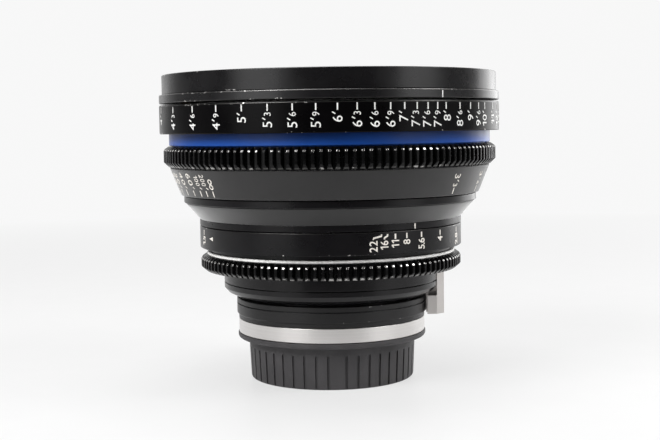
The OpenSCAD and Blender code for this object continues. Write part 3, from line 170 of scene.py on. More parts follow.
def typeface_sign(sign, weight):
    """Points, faces and width of a sign of the built-in typeface with a height of 1."""
    curve = bpy.data.curves.new("sign", "FONT")
    curve.body = sign
    curve.extrude = SIGN_HALF
    curve.offset = weight
    curve.resolution_u = CURVE_STEPS
    holder = bpy.data.objects.new("sign", curve)
    bpy.context.scene.collection.objects.link(holder)
    ready = holder.evaluated_get(bpy.context.evaluated_depsgraph_get())
    mesh = bpy.data.meshes.new_from_object(ready)
    solid = bmesh.new()
    solid.from_mesh(mesh)
    bmesh.ops.remove_doubles(solid, verts=solid.verts, dist=WELD_REACH)
    solid.verts.index_update()
    xs, ys = ([v.co[i] for v in solid.verts] for i in (0, 1))
    grow = 1 / (max(ys) - min(ys))
    points = [((v.co.x - min(xs)) * grow, (v.co.y - min(ys)) * grow, v.co.z) for v in solid.verts]
    faces = [[v.index for v in face.verts] for face in solid.faces]
    solid.free()
    bpy.data.objects.remove(holder)
    bpy.data.curves.remove(curve)
    bpy.data.meshes.remove(mesh)
    return points, faces, (max(xs) - min(xs)) * grow


def sign_shape(sign, weight):
    """Points, faces and width of a sign with a cap height of 1."""
    if (sign, weight) not in sign_shapes:
        if sign in DRAWN_SIGNS:
            outline = DRAWN_SIGNS[sign]
            sign_shapes[sign, weight] = (*prism(outline), max(x for x, _ in outline))
        else:
            sign_shapes[sign, weight] = typeface_sign(sign, weight)
    return sign_shapes[sign, weight]


def digits(text, weight):
    """Points, faces and width of a text with a cap height of 1."""
    points, faces, width = [], [], 0.0
    for i, sign in enumerate(text):
        if i:
            width += POINT_GAP if "." in text[i - 1:i + 1] else DIGIT_GAP
        sign_points, sign_faces, sign_w = sign_shape(sign, weight)
        first = len(points)
        points += [(x + width, y, side) for x, y, side in sign_points]
        faces += [[k + first for k in face] for face in sign_faces]
        width += sign_w
    return points, faces, width


def strip(path, width):
    """Outline of a line of even width along a path."""
    left, right = [], []
    for i, (x, y) in enumerate(path):
        (x0, y0), (x1, y1) = path[max(i - 1, 0)], path[min(i + 1, len(path) - 1)]
        half = width / 2 / math.hypot(x1 - x0, y1 - y0)
        left.append((x - (y1 - y0) * half, y + (x1 - x0) * half))
        right.append((x + (y1 - y0) * half, y - (x1 - x0) * half))
    return right + left[::-1]


# Shader building
EDGE_ROUND = 0.2 * MM
SHARP_ROUND = 0.02 * MM
BEVEL_SAMPLES = 6
BLOTCH_SHARES = (0.6, 0.4)
# The range that most of a noise lies in
SPREAD = (0.3, 0.7)


def feed(tree, taker, inputs):
    """Fills a node's inputs. An input takes a value or another node's output."""
    for key, value in inputs.items():
        if isinstance(value, bpy.types.NodeSocket):
            tree.links.new(value, taker.inputs[key])
        else:
            taker.inputs[key].default_value = value


def node(tree, kind, inputs=None, **settings):
    """A new shader node with its settings and inputs."""
    made = tree.nodes.new(kind)
    for key, value in settings.items():
        setattr(made, key, value)
    feed(tree, made, inputs or {})
    return made


def maths(tree, operation, a, b):
    """The result of a sum or another operation on two values."""
    return node(tree, "ShaderNodeMath", {0: a, 1: b}, operation=operation).outputs[0]


def mapped(tree, value, low, high, to_low=0.0, to_high=1.0):
    """A value's range moved to another range, and held at its ends."""
    return node(tree, "ShaderNodeMapRange", {
        "Value": value, "From Min": low, "From Max": high, "To Min": to_low, "To Max": to_high}).outputs[0]


def mixed(tree, factor, a, b):
    """Two colours mixed by a factor."""
    return node(tree, "ShaderNodeMix", {0: factor, 6: a, 7: b}, data_type="RGBA").outputs[2]


def shade(colour, share):
    """A colour made lighter or darker, as RGBA."""
    return (*(channel * share for channel in colour), 1.0)


def neutral(level):
    """A grey or white, as RGBA."""
    return shade((1.0, 1.0, 1.0), level)


def shaded(tree, factor, colour, shares):
    """A colour that varies between two shades of itself."""
    return mixed(tree, factor, *(shade(colour, share) for share in shares))


def varied(tree, pattern, middle, reach):
    """A value that a noise moves up and down from its middle."""
    return mapped(tree, pattern, *SPREAD, middle - reach, middle + reach)


def noise(tree, scale, detail, place=None):
    """Noise with a scale per metre, in the part's own coordinates unless another place is given."""
    place = place or node(tree, "ShaderNodeTexCoord").outputs["Object"]
    return node(tree, "ShaderNodeTexNoise", {"Vector": place, "Scale": scale, "Detail": detail}).outputs[0]


def blotches(tree, main, other):
    """Noises of two sizes added up. Each is a scale and a detail."""
    parts = [maths(tree, "MULTIPLY", noise(tree, *size), share)
             for size, share in zip((main, other), BLOTCH_SHARES)]
    return maths(tree, "ADD", *parts)


def axis_place(tree):
    """Distance from the lens axis, and height."""
    place = node(tree, "ShaderNodeTexCoord").outputs["Object"]
    parts = node(tree, "ShaderNodeSeparateXYZ", {0: place}).outputs
    flat = node(tree, "ShaderNodeCombineXYZ", {0: parts[0], 1: parts[1]}).outputs[0]
    return node(tree, "ShaderNodeVectorMath", {0: flat}, operation="LENGTH").outputs["Value"], parts[2]


def relief(tree, height, depth, rounding=EDGE_ROUND):
    """Normal of a bumpy surface with broken edges. Its depth and the edges' radius are in metres."""
    edge = node(tree, "ShaderNodeBevel", {"Radius": rounding}, samples=BEVEL_SAMPLES).outputs[0]
    return node(tree, "ShaderNodeBump", {
        "Height": height, "Strength": 1.0, "Distance": depth, "Normal": edge}).outputs[0]


def blank(name):
    """A new material with its node tree and its shader."""
    made = bpy.data.materials.new(name)
    made.use_nodes = True
    return made, made.node_tree, made.node_tree.nodes["Principled BSDF"]


# Wear: chips of two sizes, the level at which they show, and the share of a worn width that is wholly bare
CHIPS = ((700.0, 3.0), (38.0, 2.0))
CHIP_LEVEL = (0.62, 0.66)
WEAR_CORE = 0.5
BARE_METAL = (0.72, 0.70, 0.68, 1.0)
WORN_STEEL = (0.42, 0.41, 0.40)


def edge_wear(tree, edges, width, amount):
    """Share of bare metal along worn edges. An edge is a circle (radius, height) about the axis."""
    radius, height = axis_place(tree)
    nearest = None
    for edge_r, edge_z in edges:
        out, up = maths(tree, "SUBTRACT", radius, edge_r), maths(tree, "SUBTRACT", height, edge_z)
        gap = node(tree, "ShaderNodeCombineXYZ", {0: out, 1: up}).outputs[0]
        away = node(tree, "ShaderNodeVectorMath", {0: gap}, operation="LENGTH").outputs["Value"]
        nearest = maths(tree, "MINIMUM", nearest, away) if nearest else away
    near = mapped(tree, nearest, width * WEAR_CORE, width, 1.0, 0.0)
    chipped = mapped(tree, blotches(tree, *CHIPS), *(level - amount for level in CHIP_LEVEL))
    return maths(tree, "MULTIPLY", near, chipped)


# Finishes. A noise is given as a scale and a detail, and a wear as a width and an amount.
MOTTLE = ((55.0, 3.0), (900.0, 2.0))
MOTTLE_SPREAD = (0.35, 0.65)
MOTTLE_SHADES = (0.8, 1.2)
SMEARS = (120.0, 4.0)
SMEAR_REACH = 0.05
GRAIN = (6000.0, 2.0)
FINE_DEPTH = 0.004 * MM
COARSE_DEPTH = 0.012 * MM
CHIP_W = 0.3 * MM
RUBBED_LINE = (0.12 * MM, 0.5)
BLOOM_ROUGHNESS = 0.36


def anodised(name, colour, roughness, gloss, edges=(), wear=0.0, bloom=0.0, rubbed=0.0, depth=FINE_DEPTH,
             rounding=EDGE_ROUND):
    """Satin anodised aluminium: faint mottling, a fine blasted grain, and bare metal on worn edges.

    Its bloom is the pale cast that a blasted surface shows along its sides. A rubbed ring has a thin bare
    line along its last edge."""
    made, tree, shader = blank(name)
    mottle = mapped(tree, blotches(tree, *MOTTLE), *MOTTLE_SPREAD)
    tint = shaded(tree, mottle, colour, MOTTLE_SHADES)
    if edges:
        worn = edge_wear(tree, edges, CHIP_W, wear)
        metal = worn
        if rubbed:
            line = edge_wear(tree, edges[-1:], *RUBBED_LINE)
            tint = mixed(tree, line, tint, shade(WORN_STEEL, rubbed))
            metal = maths(tree, "MAXIMUM", worn, line)
        tint = mixed(tree, worn, tint, BARE_METAL)
        feed(tree, shader, {"Metallic": metal})
    feed(tree, shader, {
        "Base Color": tint,
        "Specular IOR Level": gloss,
        "Sheen Weight": bloom,
        "Sheen Roughness": BLOOM_ROUGHNESS,
        "Roughness": varied(tree, noise(tree, *SMEARS), roughness, SMEAR_REACH),
        "Normal": relief(tree, noise(tree, *GRAIN), depth, rounding)})
    return made


DYE_GLOSS = 0.22
DYE_ROUGHNESS = 0.37
# The blue ring's painted shade: a noise that wobbles it, the share of the height it runs over, and its light
# and dark shades
PAINTED_SHADE_CLOUDS = (70.0, 3.0)
PAINTED_SHADE_CLOUD_REACH = 0.12
PAINTED_SHADE_SPREAD = (0.1, 0.9)
PAINTED_SHADE_LEVELS = (1.25, 0.4)


def dyed(name, colour, ends):
    """Dyed anodised aluminium with painted shade: lighter towards its foot and darker towards its upper
    edge, which the ring above shelters.
    """
    made, tree, shader = blank(name)
    _, height = axis_place(tree)
    (_, foot), (_, top) = ends
    clouds = varied(tree, noise(tree, *PAINTED_SHADE_CLOUDS), 0.0, PAINTED_SHADE_CLOUD_REACH)
    rise = maths(tree, "ADD", mapped(tree, height, foot, top), clouds)
    feed(tree, shader, {
        # Painted shade: the colour runs from a light shade at the ring's foot to a dark one at its top
        "Base Color": shaded(tree, mapped(tree, rise, *PAINTED_SHADE_SPREAD), colour, PAINTED_SHADE_LEVELS),
        "Specular IOR Level": DYE_GLOSS,
        "Roughness": varied(tree, noise(tree, *SMEARS), DYE_ROUGHNESS, SMEAR_REACH),
        "Normal": relief(tree, noise(tree, *GRAIN), FINE_DEPTH)})
    return made


TURNING = (9000.0, 2.0)
TURNING_DEPTH = 0.002 * MM
TURNING_SHADES = (0.88, 1.06)
PATINA = (45.0, 3.0)
PATINA_SPREAD = (0.35, 0.7)
PATINA_SHARE = 0.3
PATINA_SHADE = 0.8
PATINA_REACH = 0.06


def turned(name, colour, roughness):
    """Bare metal with the fine rings that turning leaves, and a cloudy patina."""
    made, tree, shader = blank(name)
    radius, height = axis_place(tree)
    rings = noise(tree, *TURNING, node(tree, "ShaderNodeCombineXYZ", {0: radius, 1: height}).outputs[0])
    clouds = noise(tree, *PATINA)
    tint = shaded(tree, mapped(tree, rings, *SPREAD), colour, TURNING_SHADES)
    patina = mapped(tree, clouds, *PATINA_SPREAD, 0.0, PATINA_SHARE)
    feed(tree, shader, {
        "Base Color": mixed(tree, patina, tint, shade(colour, PATINA_SHADE)),
        "Metallic": 1.0,
        "Roughness": varied(tree, clouds, roughness, PATINA_REACH),
        "Normal": relief(tree, rings, TURNING_DEPTH)})
    return made


# Where a gear's teeth are worn: how far in from the tip circle and from the ends
CROWN_SET = (0.17 * MM, 1.15 * MM)
FOOT_SET = (0.95 * MM, 0.4 * MM)
CROWN_WEAR = (0.38 * MM, 0.20)
FOOT_WEAR = (0.7 * MM, 0.08)
FOOT_STAIN = (0.55 * MM, 0.42)
FOOT_STAIN_SHADE = 0.24
GEAR_GLOSS = 0.12
GEAR_ROUGHNESS = 0.22
GEAR_GREASE = (260.0, 3.0)
GEAR_GREASE_SPREAD = (0.4, 0.7)
GEAR_GREASE_SHADES = (0.7, 1.6)
GEAR_SMEARS = (400.0, 3.0)
GEAR_SMEAR_REACH = 0.06
GEAR_GRAIN = (2500.0, 2.0)


def worn_circles(name):
    """The circles on a gear's crowns and at its feet that wear bare."""
    low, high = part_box(name)
    crown = high.x - CROWN_SET[0], high.z - CROWN_SET[1]
    foot = high.x - FOOT_SET[0], low.z + FOOT_SET[1]
    return crown, foot


def gear_black(name, colour, crown, foot):
    """Black teeth, bare along their crowns and in specks at their feet where pinions have run."""
    made, tree, shader = blank(name)
    stained = edge_wear(tree, [foot], *FOOT_STAIN)
    bare = maths(tree, "MAXIMUM", edge_wear(tree, [crown], *CROWN_WEAR), edge_wear(tree, [foot], *FOOT_WEAR))
    grease = mapped(tree, noise(tree, *GEAR_GREASE), *GEAR_GREASE_SPREAD)
    tint = shaded(tree, grease, colour, GEAR_GREASE_SHADES)
    tint = mixed(tree, stained, tint, shade(WORN_STEEL, FOOT_STAIN_SHADE))
    feed(tree, shader, {
        "Base Color": mixed(tree, bare, tint, shade(WORN_STEEL, 1.0)),
        "Specular IOR Level": GEAR_GLOSS,
        "Metallic": maths(tree, "MAXIMUM", stained, bare),
        "Roughness": varied(tree, noise(tree, *GEAR_SMEARS), GEAR_ROUGHNESS, GEAR_SMEAR_REACH),
        "Normal": relief(tree, noise(tree, *GEAR_GRAIN), FINE_DEPTH)})
    return made


MOULD_TEXTURE = (3200.0, 3.0)
MOULD_TEXTURE_REACH = 0.06
MOULD_DUST = (150.0, 4.0)
MOULD_DUST_SPREAD = (0.45, 0.75)
MOULD_DUST_SHADES = (0.92, 1.18)
MOULD_GLOSS = 0.3


def moulded(name, colour, roughness):
    """Moulded plastic with a fine eroded texture and faint dust."""
    made, tree, shader = blank(name)
    texture = noise(tree, *MOULD_TEXTURE)
    dust = mapped(tree, noise(tree, *MOULD_DUST), *MOULD_DUST_SPREAD)
    feed(tree, shader, {
        "Base Color": shaded(tree, dust, colour, MOULD_DUST_SHADES),
        "Specular IOR Level": MOULD_GLOSS,
        "Roughness": varied(tree, texture, roughness, MOULD_TEXTURE_REACH),
        "Normal": relief(tree, texture, COARSE_DEPTH)})
    return made


PAINT_DIRT = (800.0, 4.0)
PAINT_DIRT_SPREAD = (0.45, 0.8)
PAINT_DIRT_SHADES = (1.0, 0.72)
PAINT_ROUGHNESS = (0.45, 0.6)


def painted(name, colour):
    """Filled-in paint, a little uneven and dirty."""
    made, tree, shader = blank(name)
    dirt = mapped(tree, noise(tree, *PAINT_DIRT), *PAINT_DIRT_SPREAD)
    feed(tree, shader, {
        "Base Color": shaded(tree, dirt, colour, PAINT_DIRT_SHADES),
        "Roughness": mapped(tree, dirt, 0.0, 1.0, *PAINT_ROUGHNESS)})
    return made


# Glass. Its coating is the share of the reflection that a coated surface keeps.
GLASS_IOR = 1.52
COATING = (0.07, 0.045, 0.10, 1.0)
COATING_IOR = 1.38
COATING_NM = 420.0
GLASS_CAST = (40.0, 2.0)
GLASS_TINTS = ((0.97, 0.99, 0.98, 1.0), (1.0, 1.0, 1.0, 1.0))
GLASS_DUST = (900.0, 5.0)
GLASS_DUST_SPREAD = (0.62, 0.8)
GLASS_DUST_ROUGHNESS = 0.05


def optical_glass(name):
    """Polished glass with a thin antireflection film and a trace of dust."""
    made, tree, shader = blank(name)
    cast = mapped(tree, noise(tree, *GLASS_CAST), *SPREAD)
    dust = noise(tree, *GLASS_DUST)
    feed(tree, shader, {
        "Base Color": mixed(tree, cast, *GLASS_TINTS),
        "Transmission Weight": 1.0,
        "IOR": GLASS_IOR,
        "Specular Tint": COATING,
        "Thin Film Thickness": COATING_NM,
        "Thin Film IOR": COATING_IOR,
        "Roughness": mapped(tree, dust, *GLASS_DUST_SPREAD, 0.0, GLASS_DUST_ROUGHNESS)})
    return made


def dress(finish, *names):
    """Gives CAD nodes their finish."""
    for name in names:
        for slot in nodes[name].material_slots:
            slot.material = finish


BLACK = (0.0032, 0.0028, 0.0035)
# Each ring's name, colour, roughness, gloss, wear and bloom, and how bright its rubbed edge is
RING_FINISHES = (
    ("front_ring", BLACK, 0.28, 0.50, -0.02, 0.0, 0.0),
    ("index_flange", BLACK, 0.28, 0.56, 0.02, 0.0, 0.45),
    ("focus_scale_ring", (0.0010, 0.0008, 0.0011), 0.30, 0.10, 0.02, 0.0, 0.16),
    ("focus_cone_ring", (0.0086, 0.0081, 0.0084), 0.45, 0.43, -0.03, 0.6, 0.0),
    ("step_ring", BLACK, 0.30, 0.24, -0.02, 0.0, 0.0),
    ("lower_cone_ring", (0.0028, 0.0025, 0.0027), 0.45, 0.50, -0.03, 0.9, 0.0),
    ("iris_index_band", BLACK, 0.30, 0.22, -0.02, 0.0, 0.0),
    ("iris_scale_ring", BLACK, 0.30, 0.24, 0.0, 0.0, 0.12),
    ("rear_barrel", BLACK, 0.22, 0.31, -0.03, 0.0, 0.0),
    ("mount_adapter", (0.006, 0.0056, 0.006), 0.40, 0.36, -0.03, 0.0, 0.0))
BLUE = (0.008, 0.055, 0.27)
GEAR_COLOUR = (0.003, 0.003, 0.0032)


def dress_rings():
    """Finishes of the rings that are seen from outside, worn along their edges."""
    gear_low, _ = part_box("iris_gear")
    for name, colour, roughness, gloss, wear, bloom, rubbed in RING_FINISHES:
        edges = wall(name, below=gear_low.z if name == "rear_barrel" else math.inf)
        dress(anodised(name + "_finish", colour, roughness, gloss, edges, wear, bloom, rubbed), name)
    # The blue ring's colour has painted shade, darker towards its top
    dress(dyed("focus_blue_ring_dye_and_painted_shade", BLUE, wall("focus_blue_ring")), "focus_blue_ring")
    for name in ("focus_gear", "iris_gear"):
        dress(gear_black(name + "_finish", GEAR_COLOUR, *worn_circles(name)), name)


def dress_mechanics():
    """Finishes of the mount, the optics, the inner parts and the cap: colour, roughness and gloss."""
    dress(anodised("clear_anodised", (0.97, 0.96, 0.94), 0.40, 0.60, rounding=SHARP_ROUND), "iris_sleeve")
    dress(turned("stained_alloy", (0.66, 0.63, 0.61), 0.36), "support_foot")
    dress(turned("mount_chrome", (0.735, 0.715, 0.70), 0.30), "bayonet_mount")
    dress(turned("steel", (0.56, 0.56, 0.57), 0.28), "mount_screws", "cam_followers", "focus_stop_pin",
          "iris_stop_pin", "iris_drive_pin")
    dress(turned("blackened_steel", (0.045, 0.045, 0.048), 0.38), "front_screws", "housing_screws",
          "foot_screws", "focus_ring_screws", "iris_ring_screws")
    dress(turned("turned_brass", (0.62, 0.46, 0.20), 0.30), "focus_stop_block", "iris_cam_ring")
    # The shim's brass is painted dark as shade, so that the thin gap it lies in reads as a shadow
    dress(turned("brass_darkened_as_shade", (0.10, 0.085, 0.06), 0.50), "mount_shim")
    dress(anodised("hard_grey", (0.12, 0.12, 0.12), 0.40, 0.50), "focus_drum", "main_barrel")
    dress(anodised("matt_black", (0.006, 0.006, 0.0063), 0.70, 0.20, depth=COARSE_DEPTH), "optics_carrier",
          "front_bezel", "front_lock_ring", "front_cell", "element_spacer", "iris_lock_ring",
          "iris_pivot_plate", "rear_cell", "rear_lock_ring", "rear_baffle")
    dress(optical_glass("coated_glass"), "front_element", "second_element", "third_element",
          "doublet_front_element", "doublet_rear_element", "rear_element")
    dress(anodised("leaf_black", (0.012, 0.012, 0.013), 0.50, 0.40),
          *(name for name in nodes if name.startswith("iris_blade")))
    dress(moulded("washer_white", (0.75, 0.74, 0.70), 0.50), "thrust_washers")
    dress(moulded("cap_plastic", (0.047, 0.0448, 0.047), 0.55), "rear_cap")
    dress(painted("red_enamel", (0.50, 0.02, 0.02)), "mount_index_dot")


# Scales, in millimetres and degrees.
# A tick has a drop below the upper edge of its ring, and a length. An index line has an angle before them.
LINE_W = 0.42
IRIS_LINE_W = 0.55
FOCUS_TICK = (0.34, 2.1)
CONE_TICK = (6.6, 2.05)
IRIS_TICK = (0.6, 1.65)
FOCUS_INDEX = (36.98, 0.35, 2.2)
IRIS_INDEX = (36.52, 0.1, 1.75)
# The index line of the cone's scale is on the step ring, and is as long as a share of that ring's height
CONE_INDEX_DROP = 0.1
CONE_INDEX_SHARE = 0.75
# The arrow past the widest stop: its angle, its drop, its length and its width
IRIS_ARROW = (126.3, 3.15, 2.9, 1.35)
# Lettering: cap heights, gaps, how far signs are widened, and how much the iris digits are thickened
BIG_CAP = 3.0
SMALL_CAP = 2.2
IRIS_CAP = 2.7
LOOP_CAP = 1.9
LABEL_GAP = 0.48
IRIS_GAP = 0.35
NARROW_STRETCH = 0.92
CLOSE_STRETCH = 0.83
IRIS_WEIGHT = 0.012
PRIME_W = 0.75
PRIME_LINE_W = 0.8 * LINE_W
PRIME_PATH = [(0.1, 0.22 * BIG_CAP), (PRIME_W - 0.1, 0.54 * BIG_CAP)]
WHITE_PAINT = (0.86, 0.86, 0.84)
WARM_PAINT = (0.80, 0.76, 0.70)
UP, DOWN = 1, -1
# Focus marks. All but the nearest follow one law: the angle before the far mark is a factor over the
# distance in feet, less an offset.
FAR_MARK_DEG = 138.705
NEAR_MARK_DEG = -126.6
NEAR_FEET = 3.25
FOCUS_LAW = (761.556, 0.40965)
FOOT_INCHES = 12
INCH_STEPS = (0, 3, 6, 9)
NEAR_MARKS = [(feet, inches) for feet in range(3, 8) for inches in INCH_STEPS if (feet, inches) > (3, 0)]
HALF_MARKS = [(8, 0), (8, 6), (9, 0), (9, 6)]
FAR_MARKS = [(feet, 0) for feet in (10, 11, 12, 13, 14, 15, 17, 20, 25, 30, 40, 60, 100, 200)]
THREE_DIGITS = 100
# Labels that stand a little aside from their ticks where the marks crowd
LABEL_ASIDE = {(7, 0): -0.33, (7, 3): -0.48, (7, 6): -0.37, (8, 0): 0.51}
# Stops and their angles. A crowded stop has its label's angle too, and a line that leads there with two
# bends, at these shares of a tick's length.
IRIS_MARKS = [("11", 26.83), ("8", 32.28), ("5.6", 40.04), ("4", 52.01), ("2.8", 68.3), ("2", 91.3),
              ("1.5", 117.5)]
CROWDED_MARKS = [("22", 20.64, 17.2), ("16", 23.27, 21.9)]
LEAD_BENDS = (0.3, 0.65)
# How far the second scales are turned from the first
CONE_TURN_DEG = -184.17
IRIS_BACK_TURN_DEG = -187.5


def focus_angle(feet):
    """Where a distance lies on the focus scale."""
    if feet <= NEAR_FEET:
        return NEAR_MARK_DEG
    factor, offset = FOCUS_LAW
    return FAR_MARK_DEG - factor / (feet - offset)


def tick(scale, angle, drop, length, width=LINE_W):
    """A line that runs down a ring from a drop below its upper edge."""
    scale.outline(strip([(0.0, 0.0), (0.0, -length)], width), angle, scale.below(drop))


def distance(scale, feet, inches, angle, start, way, turn):
    """Writes a distance outward from a tick's end: the inches, a prime, and the feet."""
    offset = LABEL_GAP
    if inches:
        end = scale.figure(str(inches), SMALL_CAP, angle, start, offset, way, turn, NARROW_STRETCH)
        offset = end + LABEL_GAP
    prime_end = offset + PRIME_W
    scale.outline(strip(PRIME_PATH, PRIME_LINE_W), angle, scale.further(start, way, prime_end), turn)
    cap, stretch = (BIG_CAP, DIGIT_STRETCH) if feet < THREE_DIGITS else (SMALL_CAP, CLOSE_STRETCH)
    scale.figure(str(feet), cap, angle, start, prime_end + LABEL_GAP, way, turn, stretch)


def focus_scale(name, ring, finish, turned_by, drop, length, way, turn):
    """The whole distance scale on a ring, with its labels below or above the ticks."""
    scale = Scale(name, ring, "focus_ring", finish)
    start = scale.below(drop + length) if way == DOWN else scale.below(drop)
    for feet, inches in NEAR_MARKS + HALF_MARKS + FAR_MARKS:
        angle = focus_angle(feet + inches / FOOT_INCHES) + turned_by
        tick(scale, angle, drop, length)
        distance(scale, feet, inches, angle + LABEL_ASIDE.get((feet, inches), 0.0), start, way, turn)
    tick(scale, FAR_MARK_DEG + turned_by, drop, length)
    scale.figure("∞", LOOP_CAP, FAR_MARK_DEG + turned_by, start, LABEL_GAP, way, turn, NARROW_STRETCH)
    scale.piece()


def iris_scale(name, finish, turned_by):
    """The stops on the iris ring, with the crowded ones led aside, and an arrow past the widest."""
    scale = Scale(name, "iris_scale_ring", "iris_ring", finish)
    drop, length = IRIS_TICK
    start = scale.below(drop + length)
    lettering = (start, IRIS_GAP, DOWN, reading_up, NARROW_STRETCH, IRIS_WEIGHT)
    for text, angle in IRIS_MARKS:
        tick(scale, angle + turned_by, drop, length, IRIS_LINE_W)
        scale.figure(text, IRIS_CAP, angle + turned_by, *lettering)
    low_bend, high_bend = (share * length for share in LEAD_BENDS)
    for text, angle, aside in CROWDED_MARKS:
        lean = math.radians(aside - angle) * scale.top[0] / MM
        path = [(lean, 0.0), (lean, low_bend), (0.0, high_bend), (0.0, length)]
        scale.outline(strip(path, IRIS_LINE_W), angle + turned_by, start)
        scale.figure(text, IRIS_CAP, aside + turned_by, *lettering)
    angle, drop, length, width = IRIS_ARROW
    arrow = [(-length / 2, 0.0), (length / 2, -width / 2), (length / 2, width / 2)]
    scale.outline(arrow, angle + turned_by, scale.below(drop))
    scale.piece()


def index_line(name, ring, finish, angle, drop, length):
    """A line on a fixed ring that the marks are read against."""
    scale = Scale(name, ring, "barrel", finish)
    tick(scale, angle, drop, length)
    scale.piece()


def paint_scales():
    """Both focus scales, both iris scales and their index lines."""
    white = painted("white_paint", WHITE_PAINT)
    warm = painted("warm_paint", WARM_PAINT)
    focus_scale("focus_scale_marks", "focus_scale_ring", white, 0.0, *FOCUS_TICK, DOWN, reading_up)
    focus_scale("cone_scale_marks", "focus_cone_ring", warm, CONE_TURN_DEG, *CONE_TICK, UP, reading_down)
    index_line("focus_index_line", "index_flange", white, *FOCUS_INDEX)
    angle, drop, length = IRIS_INDEX
    for side, turned_by in (("near", 0.0), ("far", IRIS_BACK_TURN_DEG)):
        iris_scale("iris_scale_marks_" + side, warm, turned_by)
        index_line("iris_index_line_" + side, "iris_index_band", warm, angle + turned_by, drop, length)
    step_low, step_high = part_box("step_ring")
    length = CONE_INDEX_SHARE * (step_high.z - step_low.z) / MM
    index_line("cone_index_line", "step_ring", warm, FOCUS_INDEX[0] + CONE_TURN_DEG, CONE_INDEX_DROP, length)


# Studio, in metres. The background's strength is how white it is seen, and the room's is how it lights.
BACKGROUND = 0.935
ROOM = 0.10
ROOM_BEHIND = (0.50, 0.85)
# The floor: where it fades into the background, and the share of the background's white it has before that
FLOOR_R = 3.0
FLOOR_STEPS = 96
FLOOR_FADE = (0.25, 0.8)
FLOOR_WHITENED = 0.65
FLOOR_GLOSS = 0.35
FLOOR_ROUGHNESS = 0.4
# The paper on it: where it ends in front of the object, and how pale it is to the camera and to light
PAPER_END = (-0.22, -0.11)
PAPER_FIBRE = (60.0, 3.0)
PAPER_SEEN = (0.66, 0.68)
PAPER_LIT = 0.91
PAST_PAPER = 0.1
# Lamps: their places, sizes and radiance
AIM = (0.0, 0.0, 0.06)
PANELS = (
    ("panel_left", (-0.38, -0.38, 0.24), (0.30, 0.46), 1.2),
    ("panel_right", (0.46, -0.29, 0.24), (0.26, 0.46), 1.2),
    ("panel_back", (0.50, 0.50, 0.22), (0.45, 0.44), 1.8))
KEYS = (
    ("key_left", (-0.44, -0.41, 0.53), (0.45, 0.28), 9.0),
    ("key_right", (0.59, -0.13, 0.53), (0.30, 0.28), 9.0),
    ("overhead", (-0.05, 0.06, 0.80), (0.50, 0.30), 6.0))


def light_ray(tree, *kinds):
    """1 for light paths of the given kinds."""
    path = node(tree, "ShaderNodeLightPath").outputs
    share = path[kinds[0]]
    for kind in kinds[1:]:
        share = maths(tree, "MAXIMUM", share, path[kind])
    return share


def make_world():
    """White for the camera, and for the light on the object a dim room with white behind."""
    world = bpy.data.worlds.new("studio")
    bpy.context.scene.world = world
    world.use_nodes = True
    tree = world.node_tree
    way = node(tree, "ShaderNodeTexCoord").outputs["Generated"]
    parts = node(tree, "ShaderNodeSeparateXYZ", {0: way}).outputs
    behind = mapped(tree, parts[1], *ROOM_BEHIND, ROOM, 1.0)
    seen = light_ray(tree, "Is Camera Ray", "Is Transmission Ray")
    strength = mapped(tree, seen, 0.0, 1.0, behind, BACKGROUND)
    feed(tree, tree.nodes["Background"], {"Color": neutral(1.0), "Strength": strength})


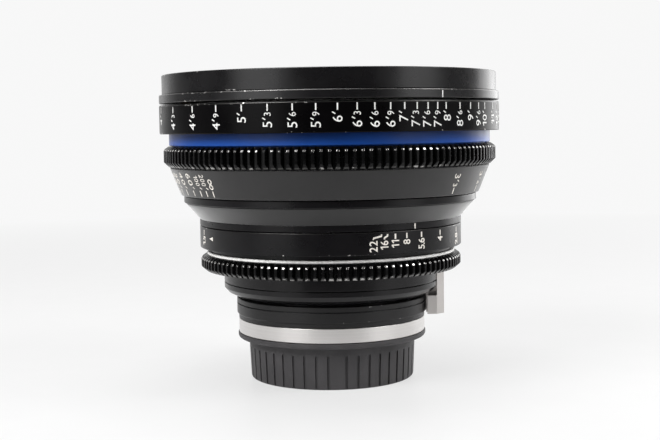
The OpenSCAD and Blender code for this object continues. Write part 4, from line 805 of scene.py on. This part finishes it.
def floor_paper(name):
    """Paper with one shade for the camera and another for the light it throws back, white further out."""
    made, tree, shader = blank(name)
    radius, _ = axis_place(tree)
    place = node(tree, "ShaderNodeTexCoord").outputs["Object"]
    front = node(tree, "ShaderNodeSeparateXYZ", {0: place}).outputs[1]
    white = mapped(tree, front, *PAPER_END)
    mirrored = maths(tree, "MULTIPLY", light_ray(tree, "Is Glossy Ray"), white)
    seen = maths(tree, "MAXIMUM", light_ray(tree, "Is Camera Ray", "Is Transmission Ray"), mirrored)
    fibre = mapped(tree, noise(tree, *PAPER_FIBRE), *SPREAD)
    paper = mixed(tree, fibre, *(neutral(level) for level in PAPER_SEEN))
    lit = mixed(tree, white, neutral(PAST_PAPER), neutral(PAPER_LIT))
    feed(tree, shader, {
        "Base Color": mixed(tree, seen, lit, paper),
        "Specular IOR Level": FLOOR_GLOSS,
        "Roughness": FLOOR_ROUGHNESS})
    glow = node(tree, "ShaderNodeEmission", {"Color": neutral(1.0), "Strength": BACKGROUND}).outputs[0]
    whitened = maths(tree, "MULTIPLY", seen, mapped(tree, radius, *FLOOR_FADE, FLOOR_WHITENED, 1.0))
    blend = node(tree, "ShaderNodeMixShader", {0: whitened, 1: shader.outputs[0], 2: glow}).outputs[0]
    feed(tree, tree.nodes["Material Output"], {"Surface": blend})
    return made


def make_floor():
    """A pale round floor that fades into the background and keeps the object's shadow."""
    shape = bmesh.new()
    bmesh.ops.create_circle(shape, cap_ends=True, segments=FLOOR_STEPS, radius=FLOOR_R)
    mesh = bpy.data.meshes.new("floor")
    shape.to_mesh(mesh)
    shape.free()
    mesh.materials.append(floor_paper("floor_paper"))
    floor = bpy.data.objects.new("floor", mesh)
    bpy.context.scene.collection.objects.link(floor)


def make_lamp(name, place, target, size, radiance):
    """A rectangular lamp that faces a target. Its power is four times its area times its radiance."""
    lamp = bpy.data.lights.new(name, "AREA")
    lamp.shape = "RECTANGLE"
    lamp.size, lamp.size_y = size
    lamp.energy = 4 * lamp.size * lamp.size_y * radiance
    holder = bpy.data.objects.new(name, lamp)
    aim = Vector(target) - Vector(place)
    holder.matrix_world = Matrix.Translation(place) @ aim.to_track_quat("-Z", "Y").to_matrix().to_4x4()
    holder.visible_camera = False
    bpy.context.scene.collection.objects.link(holder)


def make_lamps():
    """Upright panels that draw soft bands on the rings, and key lamps above them."""
    for name, place, size, radiance in PANELS:
        make_lamp(name, place, (0.0, 0.0, place[2]), size, radiance)
    for name, place, size, radiance in KEYS:
        make_lamp(name, place, AIM, size, radiance)


def make_camera():
    """A camera that looks along +Y, pitched down and rolled."""
    camera = bpy.data.cameras.new("camera")
    camera.lens, camera.sensor_width = FOCAL_MM, SENSOR_MM
    holder = bpy.data.objects.new("camera", camera)
    tilt = Matrix.Rotation(math.radians(90 - PITCH_DEG), 4, "X")
    roll = Matrix.Rotation(math.radians(ROLL_DEG), 4, "Z")
    holder.matrix_world = Matrix.Translation([c * MM for c in EYE_MM]) @ tilt @ roll
    bpy.context.scene.collection.objects.link(holder)
    bpy.context.scene.camera = holder


make_camera()
dress_rings()
dress_mechanics()
paint_scales()
make_world()
make_floor()
make_lamps()
bpy.context.scene.view_settings.view_transform = "Standard"
